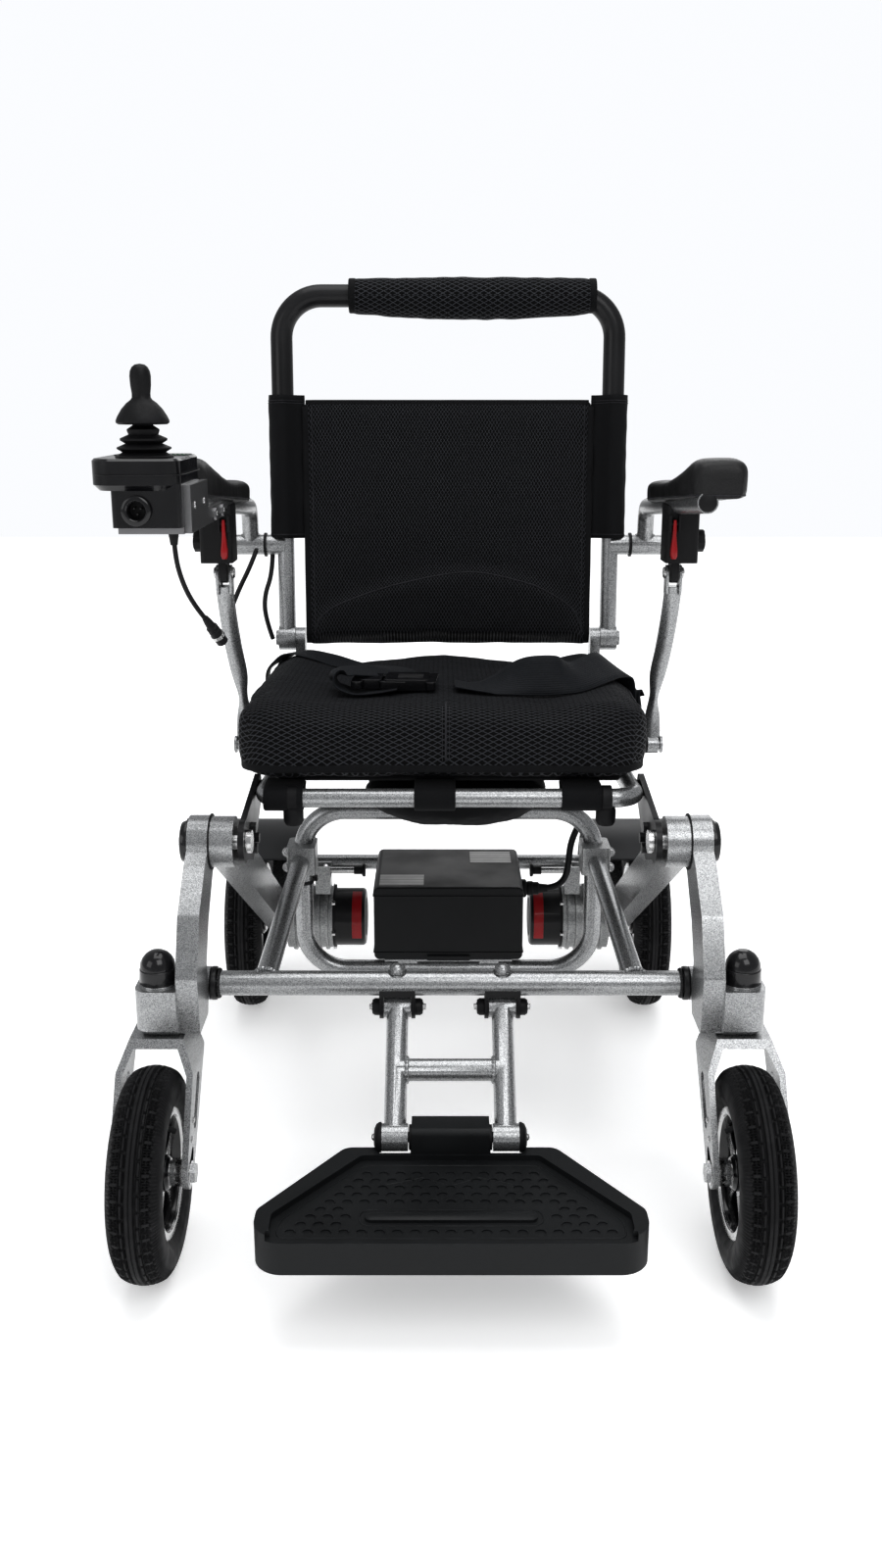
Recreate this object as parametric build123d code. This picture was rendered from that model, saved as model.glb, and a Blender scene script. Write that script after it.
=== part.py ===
from build123d import *
import math
import os

# Folding power wheelchair, millimetres.
# Working datum: X across (the sitter's left is +X), Y rearwards from the front axle, Z up from the
# floor.  Everything is written to STEP shifted by ORIGIN_Y, so that the origin of the part is on the
# floor under the centre of its bounding box.

# ---- Driving dimensions ----
SIDES = {"left": 1, "right": -1}
RUNNING_GAP = 0.05

# Wheels
FRONT_WHEEL_R = 100
FRONT_TYRE_W = 50
FRONT_RIM_R = 61
FRONT_TRACK = 282.5
CASTER_TRAIL = 76
REAR_WHEEL_R = 120
REAR_TYRE_W = 48
REAR_RIM_R = 74
REAR_TRACK = 267
REAR_AXLE_Y = 608

# Main folding pivot, where the front legs, rear legs and seat plates meet
PIVOT_Y = 168
PIVOT_Z = 374
PIVOT_PIN_R = 8

# Side frames: inner face and thickness of each plate across X
FRONT_LEG_X = 241
FRONT_LEG_T = 21
REAR_LEG_X = 216
REAR_LEG_T = 24
SEAT_PLATE_X = 206
SEAT_PLATE_T = 6

# Tubes
TUBE_WALL = 1.6
CROSSBAR_R = 12.5
CROSSBAR_Y = 128
CROSSBAR_Z = 237
RAIL_R = 11
HOOP_Y = 420
HOOP_HALF_W = 176
HOOP_LOW_Z = 125
HOOP_HIGH_Z = 330
HOOP_CORNER_R = 52

# Seat, in its own plane: v runs rearwards from the front bar and w up from it
SEAT_Y = 225
SEAT_Z = 403
SEAT_SLOPE = 3
SEAT_TUBE_R = 10
SEAT_HALF_W = 196
SEAT_LENGTH = 436
CUSHION_LENGTH = 430
CUSHION_HALF_W = 226
CUSHION_X = -7
CUSHION_BASE_W = 25
CUSHION_T = 74

# Backrest
BACK_PIVOT_Y = 666
BACK_PIVOT_Z = 496
BACK_SLOPE = 4.1
BACK_HALF_W = 214
BACK_TUBE_R = 11
PUSH_TUBE_R = 14
PUSH_TOP_Z = 932
PUSH_START_Z = 640
PUSH_CORNER_R = 52
SLEEVE_LOW_Z = 629
SLEEVE_HIGH_Z = 808

# Armrests
ARM_PIVOT_Y = 674
ARM_PIVOT_Z = 619
ARM_TUBE_R = 10.5
STRUT_PIVOT_Y = 450
STRUT_PIVOT_Z = 404
STRUT_TOP_Y = 410
STRUT_TOP_Z = 615

# Controller on the sitter's right armrest
CONTROL_X = -281.8
CONTROL_FRONT_Y = 90
CONTROL_REAR_Y = 207
CONTROL_TOP_Z = 755
STICK_Y = 135
STICK_X = -280
STICK_PIVOT_Z = 744

# Footrest
LEGREST_X = 53
LEGREST_PIVOT_Z = 211
FOOT_PIVOT_Y = 20
FOOT_PIVOT_Z = 126
FOOT_FRONT_Y = -128
FOOT_REAR_Y = 17
FOOT_FRONT_HALF_W = 172
FOOT_REAR_HALF_W = 100
FOOT_TOP_Z = 117
FOOT_LOW_Z = 80

# Mudguards
GUARD_R = 130
GUARD_T = 4
GUARD_FROM_DEG = 20
GUARD_TO_DEG = 125

GUARD_REAR_Y = REAR_AXLE_Y + (GUARD_R + GUARD_T) * math.cos(math.radians(GUARD_FROM_DEG))
ORIGIN_Y = (FOOT_FRONT_Y + GUARD_REAR_Y) / 2


# ---- Helpers ----
def plate(face_yz, x_low, x_high):
    """A flat plate: an outline drawn with (Y, Z) points, thick from x_low to x_high."""
    return Pos(x_low, 0, 0) * extrude(Plane.YZ * face_yz, x_high - x_low)


def outline(points, radii):
    """A closed outline with rounded corners; radii is one size or one for each corner."""
    return make_face(FilletPolyline(*points, radius=radii, close=True))


def bar_x(radius, x_low, x_high, y, z):
    """A round bar along X."""
    middle = Pos((x_low + x_high) / 2, y, z) * Rot(0, 90, 0)
    return middle * Cylinder(radius, abs(x_high - x_low))


def bar_y(radius, y_low, y_high, x, z):
    """A round bar along Y."""
    return Pos(x, (y_low + y_high) / 2, z) * Rot(90, 0, 0) * Cylinder(radius, y_high - y_low)


def bar_z(radius, z_low, z_high, x, y):
    """A round bar along Z."""
    return Pos(x, y, (z_low + z_high) / 2) * Cylinder(radius, z_high - z_low)


def block(x_low, x_high, y_low, y_high, z_low, z_high, edge=0, along=Axis.Z):
    """A rectangular block, its edges along one axis rounded."""
    middle = Pos((x_low + x_high) / 2, (y_low + y_high) / 2, (z_low + z_high) / 2)
    solid = middle * Box(x_high - x_low, y_high - y_low, z_high - z_low)
    if edge:
        solid = fillet(solid.edges().filter_by(along), edge)
    return solid


def rod(radius, start, end):
    """A straight round bar between two points."""
    line = Line(start, end)
    return sweep(Plane(origin=line @ 0, z_dir=line % 0) * Circle(radius), path=line)


def bent_rod(radius, points, bend_radii):
    """A round bar along straight runs joined by arcs."""
    path = FilletPolyline(*points, radius=bend_radii)
    return sweep(Plane(origin=path @ 0, z_dir=path % 0) * Circle(radius), path=path)


def tube(radius, start, end):
    """A straight tube between two points."""
    return rod(radius, start, end) - rod(radius - TUBE_WALL, start, end)


def bent_tube(radius, points, bend_radii, wall=TUBE_WALL):
    """A tube along straight runs joined by arcs."""
    return bent_rod(radius, points, bend_radii) - bent_rod(radius - wall, points, bend_radii)


def turned(points):
    """A solid turned about the X axis from (x, radius) points."""
    return revolve(make_face(Polyline(*points, close=True)), Axis.X)


def turned_z(points):
    """A solid turned about the Z axis from (radius, z) points."""
    return revolve(Plane.XZ * make_face(Polyline(*points, close=True)), Axis.Z)


def mirrored(solid):
    """The same piece on the sitter's right-hand side."""
    return mirror(solid, about=Plane.YZ)


def on_side(solid, side):
    """A piece drawn on the sitter's left, placed on the named side."""
    return solid if side == "left" else mirrored(solid)


def both(solid):
    """A left-hand and a right-hand piece."""
    return [solid, mirrored(solid)]


def solids_of(shapes):
    """All the separate solids in a list of shapes."""
    return [piece for shape in shapes for piece in shape.solids()]


def save(name, *shapes):
    """Writes one node, shifted to the part's own origin."""
    solids = [Pos(0, -ORIGIN_Y, 0) * solid for solid in solids_of(shapes)]
    whole = solids[0] if len(solids) == 1 else Compound(solids)
    whole.label = name
    export_step(whole, f"parts/{name}.step")


def seat_place(v, w):
    """A place on the sloping seat: v rearwards from the front bar, w above it."""
    return Pos(0, SEAT_Y, SEAT_Z) * Rot(-SEAT_SLOPE, 0, 0) * Pos(0, v, w)


def seat_point(x, v, w):
    """A point on the sloping seat, in the chair's datum."""
    slope = math.radians(SEAT_SLOPE)
    y = SEAT_Y + v * math.cos(slope) + w * math.sin(slope)
    return (x, y, SEAT_Z - v * math.sin(slope) + w * math.cos(slope))


def back_y(z):
    """Where the centre line of the backrest is at a height z."""
    return BACK_PIVOT_Y + (z - BACK_PIVOT_Z) * math.tan(math.radians(BACK_SLOPE))


def back_place(height):
    """A place on the backrest's centre line, its local Z along the uprights."""
    return Pos(0, back_y(height), height) * Rot(-BACK_SLOPE, 0, 0)


# ---- Wheels, drawn about the origin with the axle along X ----
def wheel_rim(seat_r, half_w, hub_r, bore_r, spokes, spoke_w):
    """A cast rim: hub, spokes and barrel."""
    barrel_wall = 8
    hub_half = half_w - 1
    barrel = turned(
        [(-half_w, seat_r - barrel_wall), (-half_w, seat_r), (half_w, seat_r), (half_w, seat_r - barrel_wall)]
    )
    hub = bar_x(hub_r, -hub_half, hub_half, 0, 0)
    rim = barrel + hub
    spoke_length = seat_r - barrel_wall - hub_r + 4
    spoke = Pos(0, 0, hub_r - 2 + spoke_length / 2) * Box(half_w, spoke_w, spoke_length)
    for number in range(spokes):
        rim += Rot(360 / spokes * number, 0, 0) * spoke
    return rim - bar_x(bore_r, -half_w - 1, half_w + 1, 0, 0)


def wheel_tyre(outer_r, seat_r, width):
    """A pneumatic tyre section turned about the axle."""
    half = width / 2
    bead = half - 6
    shoulder_x = half * 0.72
    shoulder_r = outer_r - 5
    waist_r = (outer_r + seat_r) / 2
    side_in = ThreePointArc((-bead, seat_r), (-half, waist_r), (-shoulder_x, shoulder_r))
    crown = ThreePointArc((-shoulder_x, shoulder_r), (0, outer_r), (shoulder_x, shoulder_r))
    side_out = ThreePointArc((shoulder_x, shoulder_r), (half, waist_r), (bead, seat_r))
    foot = Line((bead, seat_r), (-bead, seat_r))
    return revolve(make_face([side_in, crown, side_out, foot]), Axis.X)


# ---- Front leg, caster housing and cap ----
HUB_R = 27
HOUSING = {"x": (262, 303), "y": (52, 100), "z": (215, 261)}


def front_leg():
    """The flat extruded front leg, with the pivot head and the crossbar boss."""
    side = outline(
        [(57, 215), (54, 273), (80, 327), (124, 364), (150, 378), (186, 352),
         (166, 342), (130, 305), (108, 268), (112, 237), (104, 215)],
        [3, 10, 14, 10, 6, 4, 10, 14, 8, 4, 3],
    )
    side += Pos(PIVOT_Y, PIVOT_Z) * Circle(HUB_R)
    side += Pos(CROSSBAR_Y, CROSSBAR_Z) * Circle(17)
    leg = plate(side, FRONT_LEG_X, FRONT_LEG_X + FRONT_LEG_T)
    return leg - bar_x(PIVOT_PIN_R, 0, 400, PIVOT_Y, PIVOT_Z)


def caster_housing():
    """The block that carries the caster's stem, bored from below."""
    (x_low, x_high), (y_low, y_high), (z_low, z_high) = HOUSING["x"], HOUSING["y"], HOUSING["z"]
    solid = block(x_low, x_high, y_low, y_high, z_low, z_high)
    outer_edges = solid.edges().filter_by(Axis.Z).sort_by(Axis.X)[-2:]
    solid = fillet(outer_edges, 14)
    solid = chamfer(solid.faces().sort_by(Axis.Z)[0].edges().sort_by(Axis.X)[-1], 5)
    return solid - bar_z(STEM_R + RUNNING_GAP, z_low - 1, STEM_TOP_Z + 1, FRONT_TRACK, CASTER_TRAIL)


def caster_cap():
    """The domed cap over the stem's bearing."""
    low, shoulder, radius = HOUSING["z"][1], 278, 17
    dome = Pos(0, 0, shoulder) * Sphere(radius)
    dome = dome & (Pos(0, 0, shoulder + radius) * Box(60, 60, 2 * radius))
    cap = dome + (Pos(0, 0, (low + shoulder) / 2) * Cylinder(radius, shoulder - low))
    cap += Pos(0, 0, low + 1.5) * Cylinder(radius + 1.5, 3)
    return Pos(FRONT_TRACK, CASTER_TRAIL, 0) * cap


# ---- Caster fork, drawn on the sitter's left ----
STEM_R = 10
STEM_TOP_Z = 252
CROWN_Z = 213
FORK_INNER = 31
FORK_OUTER = 37
FRONT_AXLE_R = 6
FORK_NUT_T = 5


def caster_fork():
    """The fork: a crown with chamfered shoulders, two slotted plates and the stem."""
    front = make_face(Polyline(
        (-FORK_OUTER, 84), (-FORK_OUTER, 186), (-26, CROWN_Z), (26, CROWN_Z), (FORK_OUTER, 186),
        (FORK_OUTER, 84), (FORK_INNER, 84), (FORK_INNER, 183), (21, 205), (-21, 205),
        (-FORK_INNER, 183), (-FORK_INNER, 84), close=True,
    ))
    arch = Pos(0, 110, 0) * extrude(Plane.XZ * front, 140)
    side = outline([(52, 214), (101, 214), (101, 186), (14, 90), (-14, 90), (-14, 112)], [2, 4, 22, 6, 6, 10])
    side += Pos(0, FRONT_WHEEL_R) * Circle(15)
    fork = arch & plate(side, -60, 60)
    slot = Plane.YZ * (Pos(45, 152) * Rot(0, 0, 52) * SlotOverall(54, 15))
    fork -= extrude(slot, 100, both=True)
    fork += bar_z(14, CROWN_Z, 214.8, 0, CASTER_TRAIL)
    fork += bar_z(STEM_R, 206, STEM_TOP_Z, 0, CASTER_TRAIL)
    fork -= bar_x(FRONT_AXLE_R, -60, 60, 0, FRONT_WHEEL_R)
    return Pos(FRONT_TRACK, 0, 0) * fork


def front_axle():
    """The axle bolt with its two spacers and nuts."""
    hub_face = FRONT_TYRE_W / 2 - 6
    axle = bar_x(FRONT_AXLE_R, -FORK_OUTER - FORK_NUT_T, FORK_OUTER + FORK_NUT_T, 0, FRONT_WHEEL_R)
    for sign in (1, -1):
        axle += bar_x(12, sign * (hub_face + 0.2), sign * FORK_INNER, 0, FRONT_WHEEL_R)
        nut = Pos(sign * (FORK_OUTER + FORK_NUT_T / 2), 0, FRONT_WHEEL_R) * Rot(0, 90, 0)
        axle += nut * extrude(RegularPolygon(10, 6), FORK_NUT_T / 2, both=True)
    return Pos(FRONT_TRACK, 0, 0) * axle


# ---- Front frame between the legs ----
STUB_TOP_Z = 258


def front_crossbar():
    """The tube between the front legs, with two domed posts on top."""
    bar = bar_x(CROSSBAR_R, -FRONT_LEG_X, FRONT_LEG_X, CROSSBAR_Y, CROSSBAR_Z)
    for x in (-LEGREST_X, LEGREST_X):
        bar += bar_z(8, CROSSBAR_Z, STUB_TOP_Z - 4, x, CROSSBAR_Y)
        bar += Pos(x, CROSSBAR_Y, STUB_TOP_Z - 8) * Sphere(8)
    return bar - bar_x(CROSSBAR_R - TUBE_WALL, -FRONT_LEG_X - 1, FRONT_LEG_X + 1, CROSSBAR_Y, CROSSBAR_Z)


def crossbar_space():
    """The space the crossbar takes, for cutting its neighbours."""
    return bar_x(CROSSBAR_R, -300, 300, CROSSBAR_Y, CROSSBAR_Z)


def hoop_points():
    """The four corners of the upright hoop behind the front legs."""
    return [
        (-HOOP_HALF_W, HOOP_Y, HOOP_LOW_Z), (HOOP_HALF_W, HOOP_Y, HOOP_LOW_Z),
        (HOOP_HALF_W, HOOP_Y, HOOP_HIGH_Z), (-HOOP_HALF_W, HOOP_Y, HOOP_HIGH_Z),
    ]


def hoop_ring(radius):
    """A closed round ring along the hoop's centre line."""
    path = FilletPolyline(*hoop_points(), radius=HOOP_CORNER_R, close=True)
    return sweep(Plane(origin=path @ 0, z_dir=path % 0) * Circle(radius), path=path)


def battery_hoop():
    """The tubular hoop with the folded tray that carries the battery welded to its lower tube."""
    z_high = BATTERY_Z[0]
    hoop = hoop_ring(RAIL_R) + block(-78, 78, BATTERY_Y[0] + 2, BATTERY_Y[1] - 2, z_high - 3, z_high)
    for x in (-50, 50):
        hoop += block(x - 12, x + 12, HOOP_Y - 6, HOOP_Y + 6, HOOP_LOW_Z, z_high)
    return hoop - hoop_ring(RAIL_R - TUBE_WALL)


def lower_rail():
    """The tube from the crossbar back to the hoop, on the sitter's left."""
    start, end = (187, CROSSBAR_Y, CROSSBAR_Z + 2), (HOOP_HALF_W, HOOP_Y, 273)
    solid = tube(RAIL_R, start, end)
    return solid - crossbar_space() - hoop_ring(RAIL_R)


def hoop_clamp():
    """The split clamp that ties a lower rail to the hoop."""
    solid = block(HOOP_HALF_W - 17, HOOP_HALF_W + 17, HOOP_Y - 26, HOOP_Y + 17, 256, 290, 5)
    solid -= hoop_ring(RAIL_R)
    return solid - rod(RAIL_R, (187, CROSSBAR_Y, CROSSBAR_Z + 2), (HOOP_HALF_W, HOOP_Y, 273))


def pivot_pin():
    """The main folding pin with its outer cap and inner head."""
    outer = FRONT_LEG_X + FRONT_LEG_T
    pin = bar_x(PIVOT_PIN_R, SEAT_PLATE_X - 4, outer + 4, PIVOT_Y, PIVOT_Z)
    pin += bar_x(12, SEAT_PLATE_X - 6, SEAT_PLATE_X - 0.3, PIVOT_Y, PIVOT_Z)
    cap = bar_x(21, outer, outer + 6, PIVOT_Y, PIVOT_Z)
    return pin + fillet(cap.edges().sort_by(Axis.X)[-1], 3)


# ---- Battery, tray and lead ----
BATTERY_HALF_W = 90.5
BATTERY_Y = (404, 551)
BATTERY_Z = (143, 237)
PLUG_X = 112
PLUG_Y = 470
PLUG_Z = 212
LEAD_R = 4
LEAD_POINTS = [
    (112, 470, 212), (132, 470, 212), (146, 464, 226), (149, 455, 250), (150, 451, 276), (157, 446, 299),
    (160.8, 431.2, 314.8),
]


def battery():
    """The battery pack in its moulded case."""
    case = block(-BATTERY_HALF_W, BATTERY_HALF_W, *BATTERY_Y, *BATTERY_Z)
    case = chamfer(case.edges().filter_by(Axis.Y), 4)
    return case


def battery_plug():
    """The connector in the battery's side."""
    plug = bar_x(11, BATTERY_HALF_W, 98, PLUG_Y, PLUG_Z)
    return plug + bar_x(8, 98, PLUG_X, PLUG_Y, PLUG_Z)


# ---- Footrest ----
PIN_R = 5
FOOT_EYE_R = 13
LEGREST_R = 10.8
FOOT_NOTCH_R = 16


def legrest_clevis(x):
    """The pair of ears and the pin under the crossbar that hold a legrest tube."""
    solid = block(x - 18, x + 18, CROSSBAR_Y - 12, CROSSBAR_Y + 12, LEGREST_PIVOT_Z, 236)
    solid += bar_x(12, x - 18, x + 18, CROSSBAR_Y, LEGREST_PIVOT_Z)
    solid -= block(x - 14, x + 14, 100, 160, 190, 226.5)
    solid += bar_x(PIN_R, x - 22, x + 22, CROSSBAR_Y, LEGREST_PIVOT_Z)
    for sign in (1, -1):
        solid += bar_x(8, x + sign * 18, x + sign * 22, CROSSBAR_Y, LEGREST_PIVOT_Z)
    return solid - crossbar_space()


def legrest():
    """The H-shaped frame: two tubes with eyes at both ends and a rung."""
    top = (CROSSBAR_Y, LEGREST_PIVOT_Z)
    low = (FOOT_PIVOT_Y, FOOT_PIVOT_Z)
    middle = ((top[0] + low[0]) / 2, (top[1] + low[1]) / 2)
    frame = rod(11, (-LEGREST_X, *middle), (LEGREST_X, *middle))
    for x in (-LEGREST_X, LEGREST_X):
        frame += rod(LEGREST_R, (x, *top), (x, *low))
        frame += bar_x(11, x - 13.5, x + 13.5, *top)
        frame += bar_x(FOOT_EYE_R, x - 12.5, x + 12.5, *low)
    for x in (-LEGREST_X, LEGREST_X):
        frame -= bar_x(PIN_R + RUNNING_GAP, x - 30, x + 30, *top)
        frame -= bar_x(PIN_R + RUNNING_GAP, x - 30, x + 30, *low)
    return frame


def footplate_hinge():
    """The hinge block behind the plate, with the pin that runs in the tubes' eyes."""
    solid = block(-37, 37, 4, 36, 110, 142, 6, Axis.X)
    solid += bar_x(PIN_R, -72, 72, FOOT_PIVOT_Y, FOOT_PIVOT_Z)
    for sign in (1, -1):
        solid += bar_x(9, sign * 66, sign * 72, FOOT_PIVOT_Y, FOOT_PIVOT_Z)
    return solid - foot_slab()


def foot_slab():
    """The outer form of the footplate."""
    corners = [
        (-FOOT_FRONT_HALF_W, FOOT_FRONT_Y), (FOOT_FRONT_HALF_W, FOOT_FRONT_Y),
        (FOOT_FRONT_HALF_W, FOOT_FRONT_Y + 42), (FOOT_REAR_HALF_W, FOOT_REAR_Y),
        (-FOOT_REAR_HALF_W, FOOT_REAR_Y), (-FOOT_FRONT_HALF_W, FOOT_FRONT_Y + 42),
    ]
    face = make_face(FilletPolyline(*corners, radius=[26, 26, 16, 14, 14, 16], close=True))
    slab = Pos(0, 0, FOOT_LOW_Z) * extrude(face, FOOT_TOP_Z - FOOT_LOW_Z)
    for sign in (1, -1):
        slab -= bar_x(FOOT_NOTCH_R, sign * 38, sign * 68, FOOT_PIVOT_Y, FOOT_PIVOT_Z)
    return slab


def footplate():
    """The moulded footplate: a standing surface inside a raised rim."""
    recess = [(-158, -126), (158, -126), (158, -92), (84, 3), (-84, 3), (-158, -92)]
    dish = make_face(FilletPolyline(*recess, radius=[14, 14, 10, 8, 8, 10], close=True))
    plate_solid = foot_slab() - Pos(0, 0, FOOT_TOP_Z - 6) * extrude(dish, 20)
    front_lip = block(-160, 160, FOOT_FRONT_Y - 1, FOOT_FRONT_Y + 10, FOOT_TOP_Z - 6, FOOT_TOP_Z + 1)
    pocket_face = [(-150, -108), (150, -108), (150, -88), (78, -14), (-78, -14), (-150, -88)]
    pocket = make_face(FilletPolyline(*pocket_face, radius=8, close=True))
    return plate_solid - front_lip - Pos(0, 0, FOOT_LOW_Z - 1) * extrude(pocket, 22)


# ---- Rear frame, drawn on the sitter's left ----
GEARBOX_X = (155, 216)
GEARBOX_R = 45
MOTOR_X = (111, 155)
MOTOR_R = 39
DRIVE_SHAFT_R = 8
REAR_BAR_R = 10
REAR_BAR_Y = 648
REAR_BAR_Z = 185
LEVER_Y = 600
LEVER_Z = 190
LEVER_X = 166


def rear_leg():
    """The box-section rear leg from the folding pivot to the drive axle."""
    run = math.hypot(REAR_AXLE_Y - PIVOT_Y, PIVOT_Z - REAR_WHEEL_R)
    tilt = math.degrees(math.atan2(REAR_WHEEL_R - PIVOT_Z, REAR_AXLE_Y - PIVOT_Y))
    side = Pos((PIVOT_Y + REAR_AXLE_Y) / 2, (PIVOT_Z + REAR_WHEEL_R) / 2) * Rot(0, 0, tilt) * Rectangle(run, 44)
    side += Pos(PIVOT_Y, PIVOT_Z) * Circle(26)
    side += Pos(REAR_AXLE_Y, REAR_WHEEL_R) * Circle(28)
    side += make_face(Polyline((582, 132), (638, 194), (660, 178), (632, 106), close=True))
    side += Pos(REAR_BAR_Y, REAR_BAR_Z) * Circle(14)
    leg = plate(side, REAR_LEG_X + 0.5, REAR_LEG_X + REAR_LEG_T)
    leg -= bar_x(PIVOT_PIN_R + RUNNING_GAP, 0, 400, PIVOT_Y, PIVOT_Z)
    return leg - bar_x(DRIVE_SHAFT_R + RUNNING_GAP, 0, 400, REAR_AXLE_Y, REAR_WHEEL_R)


def rear_crossbar():
    """The tube between the rear legs, above the drive axle."""
    reach = REAR_LEG_X + 0.5
    bar = bar_x(REAR_BAR_R, -reach, reach, REAR_BAR_Y, REAR_BAR_Z)
    return bar - bar_x(REAR_BAR_R - TUBE_WALL, -reach, reach, REAR_BAR_Y, REAR_BAR_Z)


def gearbox():
    """The finned reduction gearbox with the freewheel lever's post on top."""
    x_low, x_high = GEARBOX_X
    box = bar_x(GEARBOX_R - 3, x_low, x_high + 0.5, REAR_AXLE_Y, REAR_WHEEL_R)
    for fin in range(5):
        x = x_low + 6 + fin * 11
        box += bar_x(GEARBOX_R, x, x + 4, REAR_AXLE_Y, REAR_WHEEL_R)
    post = block(LEVER_X - 8, LEVER_X + 12, LEVER_Y - 13, LEVER_Y + 13, 160, LEVER_Z + 8)
    post -= block(LEVER_X - 20, LEVER_X + 20, LEVER_Y - 8, LEVER_Y + 8, LEVER_Z - 10, LEVER_Z + 20)
    post += bar_y(2.5, LEVER_Y - 13, LEVER_Y + 13, LEVER_X, LEVER_Z)
    box += post
    return box - bar_x(DRIVE_SHAFT_R + RUNNING_GAP, x_low + 18, 400, REAR_AXLE_Y, REAR_WHEEL_R)


def motor():
    """The motor can on the gearbox's inner face."""
    x_low, x_high = MOTOR_X
    can = bar_x(MOTOR_R, x_low, x_high, REAR_AXLE_Y, REAR_WHEEL_R)
    return fillet(can.edges().sort_by(Axis.X)[0], 5)


def freewheel_lever():
    """The brake-release lever: an eye on its pin, a rod and a knob."""
    lever = bar_y(7, LEVER_Y - 7.5, LEVER_Y + 7.5, LEVER_X, LEVER_Z)
    lever += bar_x(4, 122, LEVER_X, LEVER_Y, LEVER_Z)
    knob = bar_x(9, 111, 124, LEVER_Y, LEVER_Z)
    lever += fillet(knob.edges().sort_by(Axis.X)[0], 3)
    return lever - bar_y(2.5 + RUNNING_GAP, LEVER_Y - 20, LEVER_Y + 20, LEVER_X, LEVER_Z)


def drive_rim():
    """The driven rear rim with its hub and the shaft that enters the gearbox."""
    half = REAR_TYRE_W / 2 - 4
    rim = Pos(REAR_TRACK, REAR_AXLE_Y, REAR_WHEEL_R) * wheel_rim(REAR_RIM_R, half, 24, 4, 6, 13)
    shaft = bar_x(DRIVE_SHAFT_R, GEARBOX_X[0] + 20, REAR_TRACK + half, REAR_AXLE_Y, REAR_WHEEL_R)
    collar = bar_x(14, REAR_LEG_X + REAR_LEG_T + 0.3, REAR_TRACK - half + 4, REAR_AXLE_Y, REAR_WHEEL_R)
    return rim + shaft + collar


def mudguard():
    """The arched mudguard with the web that bolts it to the gearbox."""
    middle_x = (190 + 298) / 2
    outer = bar_x(GUARD_R + GUARD_T, 190, 298, REAR_AXLE_Y, REAR_WHEEL_R)
    shell = outer - bar_x(GUARD_R, 180, 310, REAR_AXLE_Y, REAR_WHEEL_R)
    reach = 400
    angles = [GUARD_FROM_DEG, 50, 90, GUARD_TO_DEG]
    corners = [(0, 0)] + [
        (reach * math.cos(math.radians(a)), reach * math.sin(math.radians(a))) for a in angles
    ]
    wedge = Pos(REAR_AXLE_Y, REAR_WHEEL_R) * make_face(Polyline(*corners, close=True))
    shell = shell & plate(wedge, middle_x - 80, middle_x + 80)
    web_face = make_face(Polyline((-16, 30), (16, 30), (34, 131), (-24, 131), close=True))
    web = plate(Pos(REAR_AXLE_Y, REAR_WHEEL_R) * web_face, 205, 209)
    web &= bar_x(GUARD_R + 1, 200, 220, REAR_AXLE_Y, REAR_WHEEL_R)
    web -= bar_x(GEARBOX_R, 100, 217, REAR_AXLE_Y, REAR_WHEEL_R)
    return shell + web


# ---- Seat ----
HINGE_POST_X = (190, 202.7)


def seat_frame():
    """The rounded rectangle of seat tube, with the strut pins and backrest posts."""
    corners = [seat_point(x, v, 0) for x, v in (
        (-SEAT_HALF_W, 0), (SEAT_HALF_W, 0), (SEAT_HALF_W, SEAT_LENGTH), (-SEAT_HALF_W, SEAT_LENGTH))]
    path = FilletPolyline(*corners, radius=26, close=True)
    section = Plane(origin=path @ 0, z_dir=path % 0)
    ring = sweep(section * Circle(SEAT_TUBE_R), path=path)
    bore = sweep(section * Circle(SEAT_TUBE_R - TUBE_WALL), path=path)
    post_face = outline([(649, 372), (676, 372), (680, 500), (655, 500)], [6, 6, 10, 10])
    post_face += Pos(BACK_PIVOT_Y, BACK_PIVOT_Z) * Circle(14)
    for sign in (1, -1):
        post = plate(post_face, *HINGE_POST_X)
        ear_face = outline([(432, 378), (468, 378), (462, 414), (438, 414)], [4, 4, 9, 9])
        ear = plate(ear_face, 203, 209)
        pin = bar_x(6, 205, 257, STRUT_PIVOT_Y, STRUT_PIVOT_Z)
        washer = bar_x(10, 254.2, 257, STRUT_PIVOT_Y, STRUT_PIVOT_Z)
        hinge_pin = bar_x(6, 202, 227, BACK_PIVOT_Y, BACK_PIVOT_Z)
        hinge_pin += bar_x(10, 225.3, 229, BACK_PIVOT_Y, BACK_PIVOT_Z)
        fitting = post + ear + pin + washer + hinge_pin
        ring += fitting if sign == 1 else mirrored(fitting)
    return ring - bore


def seat_bracket():
    """The plate that hangs the seat on the folding pivot, on the sitter's left."""
    face = outline([(156, 380), (176, 396), (292, 412), (300, 398), (292, 384), (216, 338), (176, 352)],
                   [6, 8, 6, 4, 6, 12, 6])
    face += Pos(PIVOT_Y, PIVOT_Z) * Circle(22)
    solid = plate(face, SEAT_PLATE_X, SEAT_PLATE_X + SEAT_PLATE_T)
    for y, z in ((208, 376), (229, 358), (212, 352)):
        head = Pos(SEAT_PLATE_X - 2.5, y, z) * Rot(0, 90, 0) * extrude(RegularPolygon(6, 6), 2.5, both=True)
        solid += head
    return solid - bar_x(PIVOT_PIN_R + RUNNING_GAP, 0, 400, PIVOT_Y, PIVOT_Z)


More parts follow.
